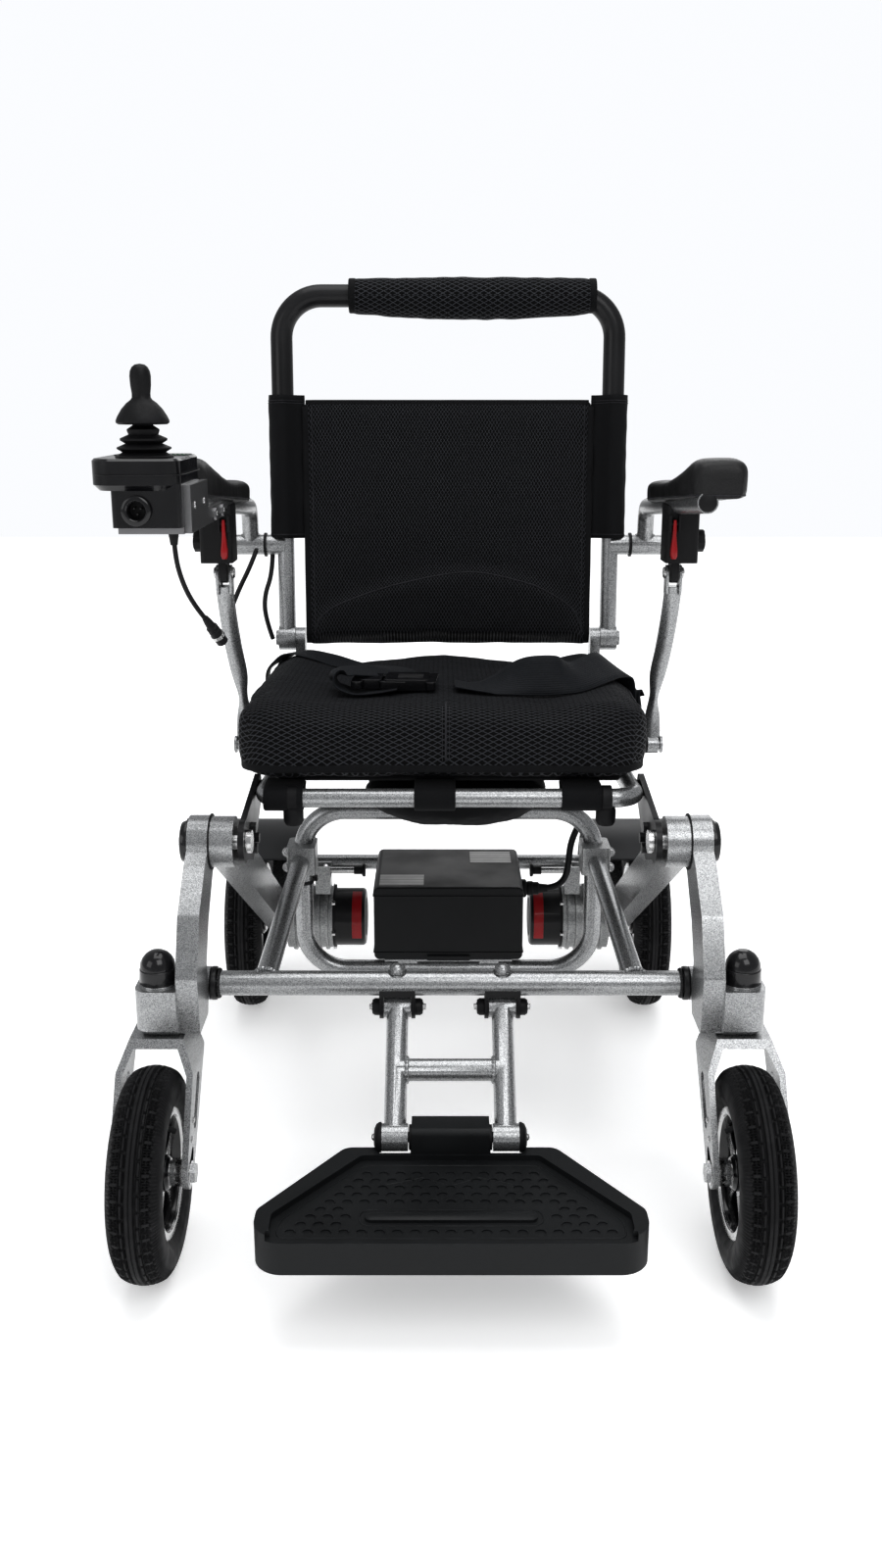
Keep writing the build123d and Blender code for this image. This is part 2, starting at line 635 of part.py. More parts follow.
def seat_cushion():
    """The foam cushion: raised edges, two leg troughs and a centre ridge."""
    half = CUSHION_HALF_W
    top = CUSHION_BASE_W + CUSHION_T
    section = [
        (-half, CUSHION_BASE_W), (half, CUSHION_BASE_W), (half, top - 2), (half - 30, top),
        (half * 0.5, top - 14), (0, top - 4), (-half * 0.5, top - 14), (-half + 30, top), (-half, top - 2),
    ]
    face = make_face(FilletPolyline(*section, radius=[10, 10, 12, 20, 60, 90, 60, 20, 12], close=True))
    solid = extrude(Plane.XZ * face, -CUSHION_LENGTH)
    front = solid.faces().sort_by(Axis.Y)[0].edges()
    solid = chamfer(front, 6)
    return Pos(CUSHION_X, 0, 0) * seat_place(-16, 0) * solid


def seat_sling():
    """The fabric seat base over the rails, with the pouch that hangs under its front."""
    base = Box(2 * SEAT_HALF_W - 14, SEAT_LENGTH - 34, 11)
    base = seat_place(SEAT_LENGTH / 2 + 6, SEAT_TUBE_R + 0.3 + 5.5) * base
    pouch_face = outline([(248, 404), (400, 396), (392, 352), (330, 340), (262, 362)], [6, 6, 16, 30, 16])
    pouch = plate(pouch_face, -98, 113)
    return base + pouch


def belt_plate(x_low, x_high, v_low, v_high, turn=0, thick=9):
    """A flat length of belt on the cushion, in the seat's own plane."""
    middle = seat_place((v_low + v_high) / 2, CUSHION_BASE_W + CUSHION_T + 0.6 + thick / 2)
    plate_solid = Rot(0, 0, turn) * Box(x_high - x_low, v_high - v_low, thick)
    return Pos((x_low + x_high) / 2, 0, 0) * middle * plate_solid


def lap_belt():
    """The two webbing straps and the side-release buckle of the lap belt, lying on the cushion."""
    right = belt_plate(-125, -67, 72, 118) + belt_plate(-110, -12, 106, 152)
    right += belt_plate(-52, -6, 130, 310) + belt_plate(-180, -10, 290, 336)
    left = belt_plate(21, 150, 67, 113) + belt_plate(128, 218, 96, 142, 45)
    buckle = belt_plate(-66, 20, 71, 111, 0, 13)
    return [right, left, buckle]


# ---- Backrest ----
TEE_END_X = 238


def back_tube():
    """The lower upright with its hinge eye and the armrest's pivot pin."""
    low, high = (BACK_HALF_W, back_y(BACK_PIVOT_Z), BACK_PIVOT_Z), (BACK_HALF_W, back_y(665), 665)
    upright = rod(BACK_TUBE_R, low, high)
    upright += bar_x(16, 203, 225, BACK_PIVOT_Y, BACK_PIVOT_Z)
    upright += bar_x(13, BACK_HALF_W, TEE_END_X, ARM_PIVOT_Y, ARM_PIVOT_Z)
    upright += bar_x(7, TEE_END_X, 286, ARM_PIVOT_Y, ARM_PIVOT_Z)
    return upright - bar_x(6 + RUNNING_GAP, 190, 240, BACK_PIVOT_Y, BACK_PIVOT_Z)


def hoop_path_points():
    """The corners of the push hoop."""
    return [
        (-BACK_HALF_W, back_y(PUSH_START_Z), PUSH_START_Z), (-BACK_HALF_W, back_y(PUSH_TOP_Z), PUSH_TOP_Z),
        (BACK_HALF_W, back_y(PUSH_TOP_Z), PUSH_TOP_Z), (BACK_HALF_W, back_y(PUSH_START_Z), PUSH_START_Z),
    ]


def push_hoop():
    """The upper hoop that the attendant pushes, sleeved over the uprights."""
    corner = [PUSH_CORNER_R, PUSH_CORNER_R]
    return bent_tube(PUSH_TUBE_R, hoop_path_points(), corner, PUSH_TUBE_R - BACK_TUBE_R)


def handle_wrap():
    """The padded grip laced round the top of the hoop."""
    top_y = back_y(PUSH_TOP_Z)
    wrap = bar_x(27, -126, 188, top_y, PUSH_TOP_Z)
    wrap = fillet(wrap.edges(), 8)
    return wrap - bent_rod(PUSH_TUBE_R, hoop_path_points(), [PUSH_CORNER_R, PUSH_CORNER_R])


def back_panel():
    """The upholstered back: a panel between the uprights and a sleeve on each of them."""
    reach = SLEEVE_HIGH_Z - SLEEVE_LOW_Z
    middle_z = (SLEEVE_LOW_Z + SLEEVE_HIGH_Z) / 2
    upper = back_place(middle_z) * Box(2 * BACK_HALF_W - 16, 14, reach)
    lower_z = 482
    lower = back_place((lower_z + SLEEVE_LOW_Z) / 2) * Box(376, 14, SLEEVE_LOW_Z - lower_z + 10)
    lumbar = back_place(562) * Pos(0, -14, 0) * Box(330, 18, 130)
    lumbar = fillet(lumbar.edges().filter_by(Axis.X), 6)
    panel = upper + lower + lumbar
    for x in (-BACK_HALF_W, BACK_HALF_W):
        panel += Pos(x, 0, 0) * back_place(middle_z) * Cylinder(18, reach)
    for x in (-BACK_HALF_W, BACK_HALF_W):
        panel -= Pos(x, 0, 0) * back_place(PUSH_START_Z + 150) * Cylinder(PUSH_TUBE_R, 304)
        panel -= Pos(x, 0, 0) * back_place(600) * Cylinder(BACK_TUBE_R, 140)
        panel -= bar_x(13.5, x - 22, x + 22, ARM_PIVOT_Y, ARM_PIVOT_Z)
    return panel


# ---- Armrests, drawn on the sitter's left ----
ARM_FRONT = (252, 211, 708)
ARM_BEND = (257, 640, 672)
PAD_X = (240, 292)


def arm_tube():
    """The armrest tube: a sleeve on the backrest's pin, a gooseneck and the long top run."""
    neck = (ARM_BEND[0] + 3, ARM_PIVOT_Y, ARM_PIVOT_Z)
    gooseneck = (ARM_BEND[0] + 2, ARM_PIVOT_Y - 12, ARM_BEND[2] - 2)
    body = bent_rod(ARM_TUBE_R, [neck, gooseneck, ARM_FRONT], 26)
    body += bar_x(13, TEE_END_X + 0.4, 284, ARM_PIVOT_Y, ARM_PIVOT_Z)
    body -= bar_x(7 + RUNNING_GAP, 200, 300, ARM_PIVOT_Y, ARM_PIVOT_Z)
    return body


def arm_tube_space():
    """The long run of the armrest tube, for cutting the pieces that sit on it."""
    gooseneck = (ARM_BEND[0] + 2, ARM_PIVOT_Y - 12, ARM_BEND[2] - 2)
    start = Vector(*ARM_FRONT)
    reach = start + (start - Vector(*gooseneck)) * 0.1
    return rod(ARM_TUBE_R, tuple(reach), gooseneck)


def arm_pad():
    """The moulded armrest pad, raised at its front."""
    side = outline(
        [(211, 712), (212, 748), (252, 748), (392, 719), (470, 712), (548, 708), (550, 683)],
        [6, 8, 20, 60, 60, 8, 6],
    )
    solid = plate(side, *PAD_X)
    return solid - arm_tube_space()


def latch_block():
    """The moulded block under the armrest tube that locks the strut."""
    solid = block(241, 277, 380, 424, 629, 692, 5)
    solid += block(241.5, 255, 372, 386, 664, 682)
    solid -= block(244.5, 252.5, 360, 380.5, 655, 690)
    solid += bar_x(2, 243, 254, 376, 673)
    knob = bar_x(9, 277, 287, 402, 650)
    solid += fillet(knob.edges().sort_by(Axis.X)[-1], 3)
    return solid - arm_tube_space()


def latch_lever():
    """The red release lever on the latch block."""
    lever = bar_x(4.2, 245, 252, 376, 673)
    lever += block(245, 252, 372.6, 379.4, 634, 673)
    return lever - bar_x(2 + RUNNING_GAP, 240, 270, 376, 673)


def strut():
    """The curved strut from the seat rail up to the latch block."""
    path = [
        (245, STRUT_PIVOT_Y, STRUT_PIVOT_Z), (245.5, STRUT_PIVOT_Y + 6, 456),
        (250, 424, 530), (255, STRUT_TOP_Y, STRUT_TOP_Z),
    ]
    body = bent_rod(8.6, path, [40, 90])
    body += bar_x(10.6, 238.5, 252, STRUT_PIVOT_Y, STRUT_PIVOT_Z)
    body += bar_x(9.6, 248, 262, STRUT_TOP_Y, STRUT_TOP_Z)
    return body - bar_x(6 + RUNNING_GAP, 200, 270, STRUT_PIVOT_Y, STRUT_PIVOT_Z)


# ---- Controller ----
CASE_WALL = 2.5
CASE_HALF_W = 40.2
UPPER_LOW_Z = 727
LOWER_LOW_Z = 694
LOWER_X = (-305, -241.6)
SOCKET_X = -281.5
SOCKET_Z = 709.5
SOCKET_R = 8
SOCKET_DEPTH = 12
PLATE_T = 6
POWER_BUTTON = (-304, 186, 6)
ROCKER = (-282, 186, 9, 5)
ROCKER_PIVOT_Z = 750
BUTTON_RISE = 1.6


def controller_case():
    """The controller's case: a rounded upper body on a narrower lower one, hollow inside."""
    x_low, x_high = CONTROL_X - CASE_HALF_W, CONTROL_X + CASE_HALF_W
    upper = block(x_low, x_high, CONTROL_FRONT_Y, CONTROL_REAR_Y, UPPER_LOW_Z, CONTROL_TOP_Z, 20)
    upper = chamfer(upper.faces().sort_by(Axis.Z)[0].edges(), 5)
    upper = chamfer(upper.faces().sort_by(Axis.Z)[-1].edges(), 2)
    lower = block(*LOWER_X, CONTROL_FRONT_Y + 6, CONTROL_REAR_Y - 8, LOWER_LOW_Z, UPPER_LOW_Z + 6, 6)
    case = upper + lower
    case -= block(x_low + 6, x_high - 4, CONTROL_FRONT_Y + 8, CONTROL_REAR_Y - 6, UPPER_LOW_Z + 3, CONTROL_TOP_Z - 3, 12)
    case -= block(LOWER_X[0] + 4, LOWER_X[1] - 4, CONTROL_FRONT_Y + 20, CONTROL_REAR_Y - 12, 698, 732, 4)
    case -= bar_z(15, 730, CONTROL_TOP_Z + 5, STICK_X, STICK_Y)
    case -= bar_y(13, CONTROL_FRONT_Y, CONTROL_FRONT_Y + 22, SOCKET_X, SOCKET_Z)
    button_x, button_y, button_r = POWER_BUTTON
    case -= bar_z(button_r + 0.3, 740, CONTROL_TOP_Z + 5, button_x, button_y)
    rocker_x, rocker_y, half_w, half_d = ROCKER
    case -= block(rocker_x - half_w - 1, rocker_x + half_w + 1, rocker_y - half_d - 0.4,
                  rocker_y + half_d + 0.4, 740, CONTROL_TOP_Z + 5)
    for sign in (1, -1):
        x = STICK_X + sign * 19
        case += block(x - 2.5, x + 2.5, STICK_Y - 5, STICK_Y + 5, STICK_PIVOT_Z - 5, CONTROL_TOP_Z - 2)
        case -= bar_x(2 + RUNNING_GAP, x - 4, x + 4, STICK_Y, STICK_PIVOT_Z)
    return case


def controller_bracket():
    """The bracket: a plate under the case and a cheek bolted to the armrest tube."""
    under = block(-301, -241.6, 104, 200, LOWER_LOW_Z - PLATE_T, LOWER_LOW_Z)
    cheek = block(-241.6, -235.6, 112, 206, LOWER_LOW_Z - PLATE_T, 731)
    cheek += block(-241.6, -235.6, 200, 300, LOWER_LOW_Z - PLATE_T, 703)
    bracket = under + cheek
    for y in (235, 280):
        head = Pos(-234.1, y, 695.5) * Rot(0, 90, 0) * extrude(RegularPolygon(6, 6), 1.5, both=True)
        bracket += head
    return bracket - mirrored(arm_tube_space())


def charge_socket():
    """The charging socket in the front of the case."""
    ring = bar_y(13, CONTROL_FRONT_Y + 3, CONTROL_FRONT_Y + 22, SOCKET_X, SOCKET_Z)
    return ring - bar_y(SOCKET_R, CONTROL_FRONT_Y + 2, CONTROL_FRONT_Y + 3 + SOCKET_DEPTH, SOCKET_X, SOCKET_Z)


def joystick_gimbal():
    """The ring of the joystick's universal joint."""
    ring = bar_z(11, STICK_PIVOT_Z - 5, STICK_PIVOT_Z + 5, STICK_X, STICK_Y)
    ring -= bar_z(7.5, STICK_PIVOT_Z - 6, STICK_PIVOT_Z + 6, STICK_X, STICK_Y)
    for sign in (1, -1):
        ring += bar_x(2, STICK_X + sign * 10, STICK_X + sign * 21.4, STICK_Y, STICK_PIVOT_Z)
    return ring - bar_y(2 + RUNNING_GAP, STICK_Y - 12, STICK_Y + 12, STICK_X, STICK_PIVOT_Z)


def joystick():
    """The stick: ball and cross pin, shaft, skirt and knob."""
    stick = Pos(0, 0, STICK_PIVOT_Z) * Sphere(5.5)
    stick += bar_z(3.5, STICK_PIVOT_Z, 800, 0, 0)
    stick += bar_y(2, -10.8, 10.8, 0, STICK_PIVOT_Z)
    stick += turned_z([(0, 806), (7, 806), (12, 802), (24, 788), (24, 785), (21, 785), (10, 798), (0, 798)])
    knob = bar_z(9.5, 805, 837, 0, 0)
    stick += fillet(knob.edges().sort_by(Axis.Z)[-1], 8)
    return Pos(STICK_X, STICK_Y, 0) * stick


def joystick_boot():
    """The rubber bellows round the stick."""
    profile = [(6, 755.2), (22, 755.2)]
    for z, radius in ((762, 25), (771, 21), (780, 15)):
        profile += [(radius - 7, z - 4.2), (radius, z), (radius - 6, z + 3)]
    profile += [(9, 786), (6, 786)]
    return Pos(STICK_X, STICK_Y, 0) * turned_z(profile)


def power_button():
    """The round power button standing just above the case."""
    x, y, radius = POWER_BUTTON
    return bar_z(radius, 746, CONTROL_TOP_Z + BUTTON_RISE, x, y)


def speed_rocker():
    """The speed rocker, shown level."""
    x, y, half_w, half_d = ROCKER
    rocker = block(x - half_w, x + half_w, y - half_d, y + half_d, ROCKER_PIVOT_Z, CONTROL_TOP_Z + BUTTON_RISE)
    return rocker + bar_y(3, y - half_d, y + half_d, x, ROCKER_PIVOT_Z)


# ---- Leads that hang free ----
CABLE_R = 2.4
CABLE_POINTS = [
    (-262, 160, 688), (-262, 160, 664), (-258, 168, 637), (-250, 184, 611), (-240, 201, 592),
]
CONNECTOR_END = (-229.5, 218.8, 569.3)
HARNESS_POINTS = [
    (-232, 674, 606), (-233, 670, 581), (-242, 651, 554), (-240, 641, 526), (-232, 648, 498),
]
BRANCH_POINTS = [
    (-252, 660.4, 612), (-258, 644, 594), (-268, 606, 570), (-271, 556, 553),
    (-271, 508, 553), (-270, 470, 570), (-267, 450, 603), (-261, 441, 632), (-256, 424, 648),
]
HARNESS_R = 3


def bend_radii(points):
    """The largest arcs that the runs of a lead allow at each of its corners."""
    radii = []
    for before, corner, after in zip(points, points[1:], points[2:]):
        run_in = Vector(*corner) - Vector(*before)
        run_out = Vector(*after) - Vector(*corner)
        turn = math.radians(run_in.get_angle(run_out))
        radii.append(0.45 * min(run_in.length, run_out.length) / math.tan(turn / 2))
    return radii


def lead(name, radius, points):
    """A flexible lead along its route; prints its bends and its length."""
    radii = bend_radii(points)
    solid = bent_rod(radius, points, radii)
    length = solid.volume / (math.pi * radius**2)
    print(name, "bends", [round(r, 1) for r in radii], "length", round(length, 1))
    return solid


def cable_connector():
    """The round connector at the free end of the controller's lead."""
    start, end = Vector(*CABLE_POINTS[-1]), Vector(*CONNECTOR_END)
    step = (end - start).normalized()
    length = (end - start).length
    body = rod(4, tuple(start), tuple(start + step * 10))
    body += rod(6, tuple(start + step * 9), tuple(end))
    socket = rod(4.2, tuple(end - step * 8), tuple(end + step * 2))
    return body - socket if length > 12 else body


# ---- Nodes ----
os.makedirs("parts", exist_ok=True)

save("front_legs", *both(front_leg()))
save("caster_housings", *both(caster_housing()))
save("caster_caps", *both(caster_cap()))
save("lower_frame", front_crossbar(), *both(lower_rail()))
save("battery_hoop", battery_hoop())
save("hoop_clamps", *both(hoop_clamp()))
save("pivot_pins", *both(pivot_pin()))
save("battery", battery())
save("battery_lead", battery_plug(), lead("battery_lead", LEAD_R, LEAD_POINTS))
save("legrest_clevises", legrest_clevis(-LEGREST_X), legrest_clevis(LEGREST_X))

for side in SIDES:
    save(f"caster_fork_{side}", on_side(caster_fork(), side), on_side(front_axle(), side))
    hub = wheel_rim(FRONT_RIM_R, FRONT_TYRE_W / 2 - 5, 17, FRONT_AXLE_R + RUNNING_GAP, 5, 12)
    front_place = Pos(FRONT_TRACK, 0, FRONT_WHEEL_R)
    tyre = wheel_tyre(FRONT_WHEEL_R, FRONT_RIM_R, FRONT_TYRE_W)
    save(f"front_rim_{side}", on_side(front_place * hub, side))
    save(f"front_tyre_{side}", on_side(front_place * tyre, side))
    rear_place = Pos(REAR_TRACK, REAR_AXLE_Y, REAR_WHEEL_R)
    drive_tyre = wheel_tyre(REAR_WHEEL_R, REAR_RIM_R, REAR_TYRE_W)
    save(f"rear_rim_{side}", on_side(drive_rim(), side))
    save(f"rear_tyre_{side}", on_side(rear_place * drive_tyre, side))
    save(f"freewheel_lever_{side}", on_side(freewheel_lever(), side))
    save(f"arm_tube_{side}", on_side(arm_tube(), side))
    save(f"arm_pad_{side}", on_side(arm_pad(), side))
    save(f"latch_block_{side}", on_side(latch_block(), side))
    save(f"latch_lever_{side}", on_side(latch_lever(), side))
    save(f"strut_{side}", on_side(strut(), side))

save("rear_legs", rear_crossbar(), *both(rear_leg()))
save("gearboxes", *both(gearbox()))
save("motors", *both(motor()))
save("mudguards", *both(mudguard()))

save("seat_frame", seat_frame())
save("seat_brackets", *both(seat_bracket()))
save("seat_cushion", seat_cushion())
save("seat_sling", seat_sling())
save("lap_belt", *lap_belt())

save("back_tubes", *both(back_tube()))
save("push_hoop", push_hoop())
save("handle_wrap", handle_wrap())
save("back_panel", back_panel())

save("controller_case", controller_case())
save("controller_bracket", controller_bracket())
save("charge_socket", charge_socket())
save("joystick_gimbal", joystick_gimbal())
save("joystick", joystick())
save("joystick_boot", joystick_boot())
save("power_button", power_button())
save("speed_rocker", speed_rocker())

save("legrest", legrest())
save("footplate_hinge", footplate_hinge())
save("footplate", footplate())

save("controller_cable", lead("controller_cable", CABLE_R, CABLE_POINTS))
save("cable_connector", cable_connector())
save("harness_lead", lead("harness_lead", HARNESS_R, HARNESS_POINTS))
save("harness_branch", lead("harness_branch", HARNESS_R, BRANCH_POINTS))
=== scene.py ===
"""A folding power wheelchair: the visible model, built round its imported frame.

Lengths are millimetres in the chair's own datum (X across with the sitter's left positive, Y
rearwards from the front axle, Z up from the floor) until commit() puts a form in the frame.
"""
import math

import bmesh
import bpy
from mathutils import Matrix, Vector, noise


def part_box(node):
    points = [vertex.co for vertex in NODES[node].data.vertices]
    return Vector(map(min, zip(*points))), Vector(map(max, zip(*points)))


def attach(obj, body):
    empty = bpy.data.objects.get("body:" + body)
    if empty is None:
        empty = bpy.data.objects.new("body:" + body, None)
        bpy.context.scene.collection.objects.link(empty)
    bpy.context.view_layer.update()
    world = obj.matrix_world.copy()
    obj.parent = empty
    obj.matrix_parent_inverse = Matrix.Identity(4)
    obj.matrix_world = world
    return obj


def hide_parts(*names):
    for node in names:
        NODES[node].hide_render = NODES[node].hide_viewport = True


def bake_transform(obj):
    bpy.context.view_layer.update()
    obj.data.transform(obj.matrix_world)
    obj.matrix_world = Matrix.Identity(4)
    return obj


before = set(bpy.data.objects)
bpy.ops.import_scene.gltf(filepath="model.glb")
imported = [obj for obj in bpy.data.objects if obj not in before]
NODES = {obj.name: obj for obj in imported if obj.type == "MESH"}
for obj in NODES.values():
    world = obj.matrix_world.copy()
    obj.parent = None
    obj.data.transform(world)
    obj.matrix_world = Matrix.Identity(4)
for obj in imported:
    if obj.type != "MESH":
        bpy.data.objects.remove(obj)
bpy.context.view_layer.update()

MM = 0.001
TYRE_LOW, TYRE_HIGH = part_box("front_tyre_left")
AXLE_Y = (TYRE_LOW.y + TYRE_HIGH.y) / 2
TO_FRAME = Matrix.Translation((0, AXLE_Y, 0)) @ Matrix.Scale(MM, 4)
TO_DATUM = TO_FRAME.inverted()
MIRROR = Matrix.Scale(-1, 4, (1, 0, 0))
SIDES = {"left": 1, "right": -1}
X_AXIS = Vector((1, 0, 0))
Y_AXIS = Vector((0, 1, 0))
Z_AXIS = Vector((0, 0, 1))
DOWN = (0, 0, -1)

# Places in the datum; those off the middle are the left-hand side's, but for the stick.
AXLE_X, STEM_Y = 282.5, 76  # the front wheel's middle and its fork's upright stem
FRONT_CENTRE = (AXLE_X, 0, 100)
REAR_Y, REAR_Z = 608, 120  # the drive axle
REAR_CENTRE = (267, REAR_Y, REAR_Z)
GUARD_RIM_R = 132  # the mudguard's rolled edges, about the drive axle
LEVER_Y, LEVER_Z = 600, 190  # the freewheel lever's shaft
PIVOT_Y, PIVOT_Z = 168, 374  # the fold's main pivot
CROSSBAR_Y, CROSSBAR_Z = 128, 237
CLEVIS_X, CLEVIS_Z = 53, 211  # the legrest's pins under the crossbar
FOOT_PIVOT_Y, FOOT_PIVOT_Z = 20, 126  # the footplate's hinge
TREAD_TOP = 111  # the footplate's upper face
HOOP_TUBE_X, HOOP_TUBE_Y = 176, 420  # the battery hoop's uprights
TEE_Y, TEE_Z = 674, 619  # the armrest's pivot on the back post
ARM_TUBE_FRONT, ARM_TUBE_REAR = (252, 211, 708), (259, 662, 670)
PADDLE_X = 248.5  # the red latch lever
LATCH_Y, LATCH_Z = 402, 652  # the latch block's round knob
STRUT_HEAD_Y, STRUT_HEAD_Z = 410, 615
STRUT_FOOT_Y, STRUT_FOOT_Z = 450, 404
STICK = (-280, 135, 0)  # the joystick's upright axis


def at(x, y, z):
    """A datum point in the frame's metres."""
    return TO_FRAME @ Vector((x, y, z))


# ---- Material nodes ----
class Finish:
    """One material; its node calls return sockets, so that they can be nested."""

    def __init__(self, name, colour=(0.5, 0.5, 0.5), **inputs):
        self.material = bpy.data.materials.new(name)
        self.material.use_nodes = True
        self.material.diffuse_color = (*colour, 1)
        self.tree = self.material.node_tree
        self.shader = self.tree.nodes["Principled BSDF"]
        self.join(self.shader, {"Base Color": (*colour, 1)})
        self.join(self.shader, {key.replace("_", " "): value for key, value in inputs.items()})
        self.place = self.node("ShaderNodeTexCoord").outputs["Object"]

    def node(self, kind, settings=None, inputs=None):
        """A new node with its settings and its inputs."""
        made = self.tree.nodes.new(kind)
        for key, value in (settings or {}).items():
            setattr(made, key, value)
        self.join(made, inputs or {})
        return made

    def join(self, made, inputs):
        """Links sockets to a node's inputs and sets the plain values."""
        for key, value in inputs.items():
            if isinstance(value, bpy.types.NodeSocket):
                self.tree.links.new(value, made.inputs[key])
            else:
                made.inputs[key].default_value = value

    def noise(self, scale, detail=3, roughness=0.5, place=None):
        inputs = {"Vector": place or self.place, "Scale": scale, "Detail": detail, "Roughness": roughness}
        return self.node("ShaderNodeTexNoise", None, inputs).outputs["Fac"]

    def cells(self, scale, output="Distance", feature="F1", place=None):
        inputs = {"Vector": place or self.place, "Scale": scale}
        return self.node("ShaderNodeTexVoronoi", {"feature": feature}, inputs).outputs[output]

    def maths(self, operation, first, second=0.0):
        return self.node("ShaderNodeMath", {"operation": operation}, {0: first, 1: second}).outputs[0]

    def ramp(self, value, low, high, to_low=0.0, to_high=1.0):
        """A smooth step of a value from low..high to to_low..to_high."""
        inputs = {"Value": value, "From Min": low, "From Max": high, "To Min": to_low, "To Max": to_high}
        settings = {"interpolation_type": "SMOOTHSTEP"}
        return self.node("ShaderNodeMapRange", settings, inputs).outputs["Result"]

    def mix(self, share, first, second):
        """A colour between two colours."""
        inputs = {"Factor": share}
        made = self.node("ShaderNodeMix", {"data_type": "RGBA"}, inputs)
        for index, value in ((6, first), (7, second)):
            if isinstance(value, bpy.types.NodeSocket):
                self.tree.links.new(value, made.inputs[index])
            else:
                made.inputs[index].default_value = (*value, 1)
        return made.outputs[2]

    def bump(self, height, depth_mm, strength=1.0):
        inputs = {"Height": height, "Distance": depth_mm * MM, "Strength": strength}
        return self.node("ShaderNodeBump", None, inputs).outputs["Normal"]

    def edges(self, radius_mm):
        """Where the surface turns sharply, from 0 on a flat to 1 on an edge."""
        rounded = self.node("ShaderNodeBevel", {"samples": 4}, {"Radius": radius_mm * MM}).outputs[0]
        flat = self.node("ShaderNodeNewGeometry").outputs["Normal"]
        inputs = {0: rounded, 1: flat}
        same = self.node("ShaderNodeVectorMath", {"operation": "DOT_PRODUCT"}, inputs).outputs["Value"]
        return self.ramp(same, 0.995, 0.85)

    def wear(self, **inputs):
        """Sets shader inputs by name, underscores for spaces."""
        self.join(self.shader, {key.replace("_", " "): value for key, value in inputs.items()})
        return self.material


def flake_paint(name, dark, bright, grain, rough):
    """Silver powder coat: fine metal flakes under a clear coat, with a slow random drift in tone."""
    finish = Finish(name, bright, Metallic=0.8, Coat_Weight=0.25, Coat_Roughness=0.2)
    tone = finish.node("ShaderNodeSeparateColor", None, {"Color": finish.cells(grain, "Color")}).outputs[0]
    drift = finish.noise(9, 3)
    flakes = finish.ramp(tone, 0.0, 1.0)
    shade = finish.ramp(finish.maths("ADD", flakes, finish.maths("MULTIPLY", drift, 0.35)), 0.1, 1.1)
    roughness = finish.ramp(finish.noise(grain * 0.7, 2), 0.3, 0.7, rough - 0.08, rough + 0.1)
    normal = finish.bump(finish.maths("ADD", flakes, finish.noise(grain * 0.5, 3)), 0.02, 0.4)
    return finish.wear(Base_Color=finish.mix(shade, dark, bright), Roughness=roughness, Normal=normal)


def plain_metal(name, colour, rough, brush):
    """Bare bright metal with a faint turned or brushed grain."""
    finish = Finish(name, colour, Metallic=1.0)
    grain = finish.noise(brush, 4, 0.7)
    roughness = finish.ramp(grain, 0.25, 0.75, rough - 0.06, rough + 0.1)
    normal = finish.bump(grain, 0.02, 0.6)
    return finish.wear(Roughness=roughness, Normal=normal)


def moulded(name, colour, rough, grain, depth, edge_highlight_gain=1.8, coat=0.0):
    """Moulded plastic or painted metal: spark-eroded grain, with a painted highlight along its edges in
    patches.
    """
    finish = Finish(name, colour, Specular_IOR_Level=0.32, Coat_Weight=coat, Coat_Roughness=0.08)
    skin = finish.noise(grain, 4, 0.6)
    drift = finish.noise(14, 4)
    # Painted highlight: the colour the edges are painted, paler than the body.
    edge_highlight_colour = tuple(min(1.0, channel * edge_highlight_gain + 0.005) for channel in colour)
    pale = tuple(min(1.0, channel * 1.35 + 0.0005) for channel in colour)
    body = finish.mix(finish.ramp(drift, 0.35, 0.7), colour, pale)
    # Where the edges are painted paler as a highlight, broken up by noise.
    wear = finish.maths("MULTIPLY", finish.edges(1.2), finish.ramp(finish.noise(60, 4), 0.35, 0.7))
    roughness = finish.ramp(drift, 0.3, 0.75, rough - 0.05, rough + 0.1)
    normal = finish.bump(skin, depth, 0.8)
    return finish.wear(Base_Color=finish.mix(wear, body, edge_highlight_colour), Roughness=roughness, Normal=normal)


def rubber(name, colour, rough):
    """Vulcanised rubber: matt, with a breath of dust and a fine skin."""
    finish = Finish(name, colour, Specular_IOR_Level=0.3)
    dust = finish.ramp(finish.noise(35, 5, 0.65), 0.45, 0.8)
    skin = finish.maths("ADD", finish.noise(900, 3), finish.cells(450))
    pale = tuple(channel * 2.0 + 0.004 for channel in colour)
    roughness = finish.ramp(finish.noise(80, 3), 0.3, 0.7, rough - 0.06, rough + 0.1)
    normal = finish.bump(skin, 0.12, 0.6)
    return finish.wear(Base_Color=finish.mix(dust, colour, pale), Roughness=roughness, Normal=normal)


def lattice(finish, wide, high, thin, thick):
    """The knitted diamonds of an air mesh, from UVs in millimetres: 1 on a thread, 0 in a hole."""
    place = finish.node("ShaderNodeUVMap").outputs["UV"]
    wobble = finish.maths("MULTIPLY", finish.noise(0.07, 2, 0.5, place), 1.6)
    parts = finish.node("ShaderNodeSeparateXYZ", None, {"Vector": place}).outputs
    across = finish.maths("DIVIDE", finish.maths("ADD", parts[0], wobble), wide)
    along = finish.maths("DIVIDE", finish.maths("ADD", parts[1], wobble), high)
    threads = []
    for operation in ("ADD", "SUBTRACT"):
        strand = finish.maths("PINGPONG", finish.maths(operation, across, along), 0.5)
        threads.append(finish.ramp(strand, thick, thin))
    return finish.maths("MAXIMUM", *threads), place


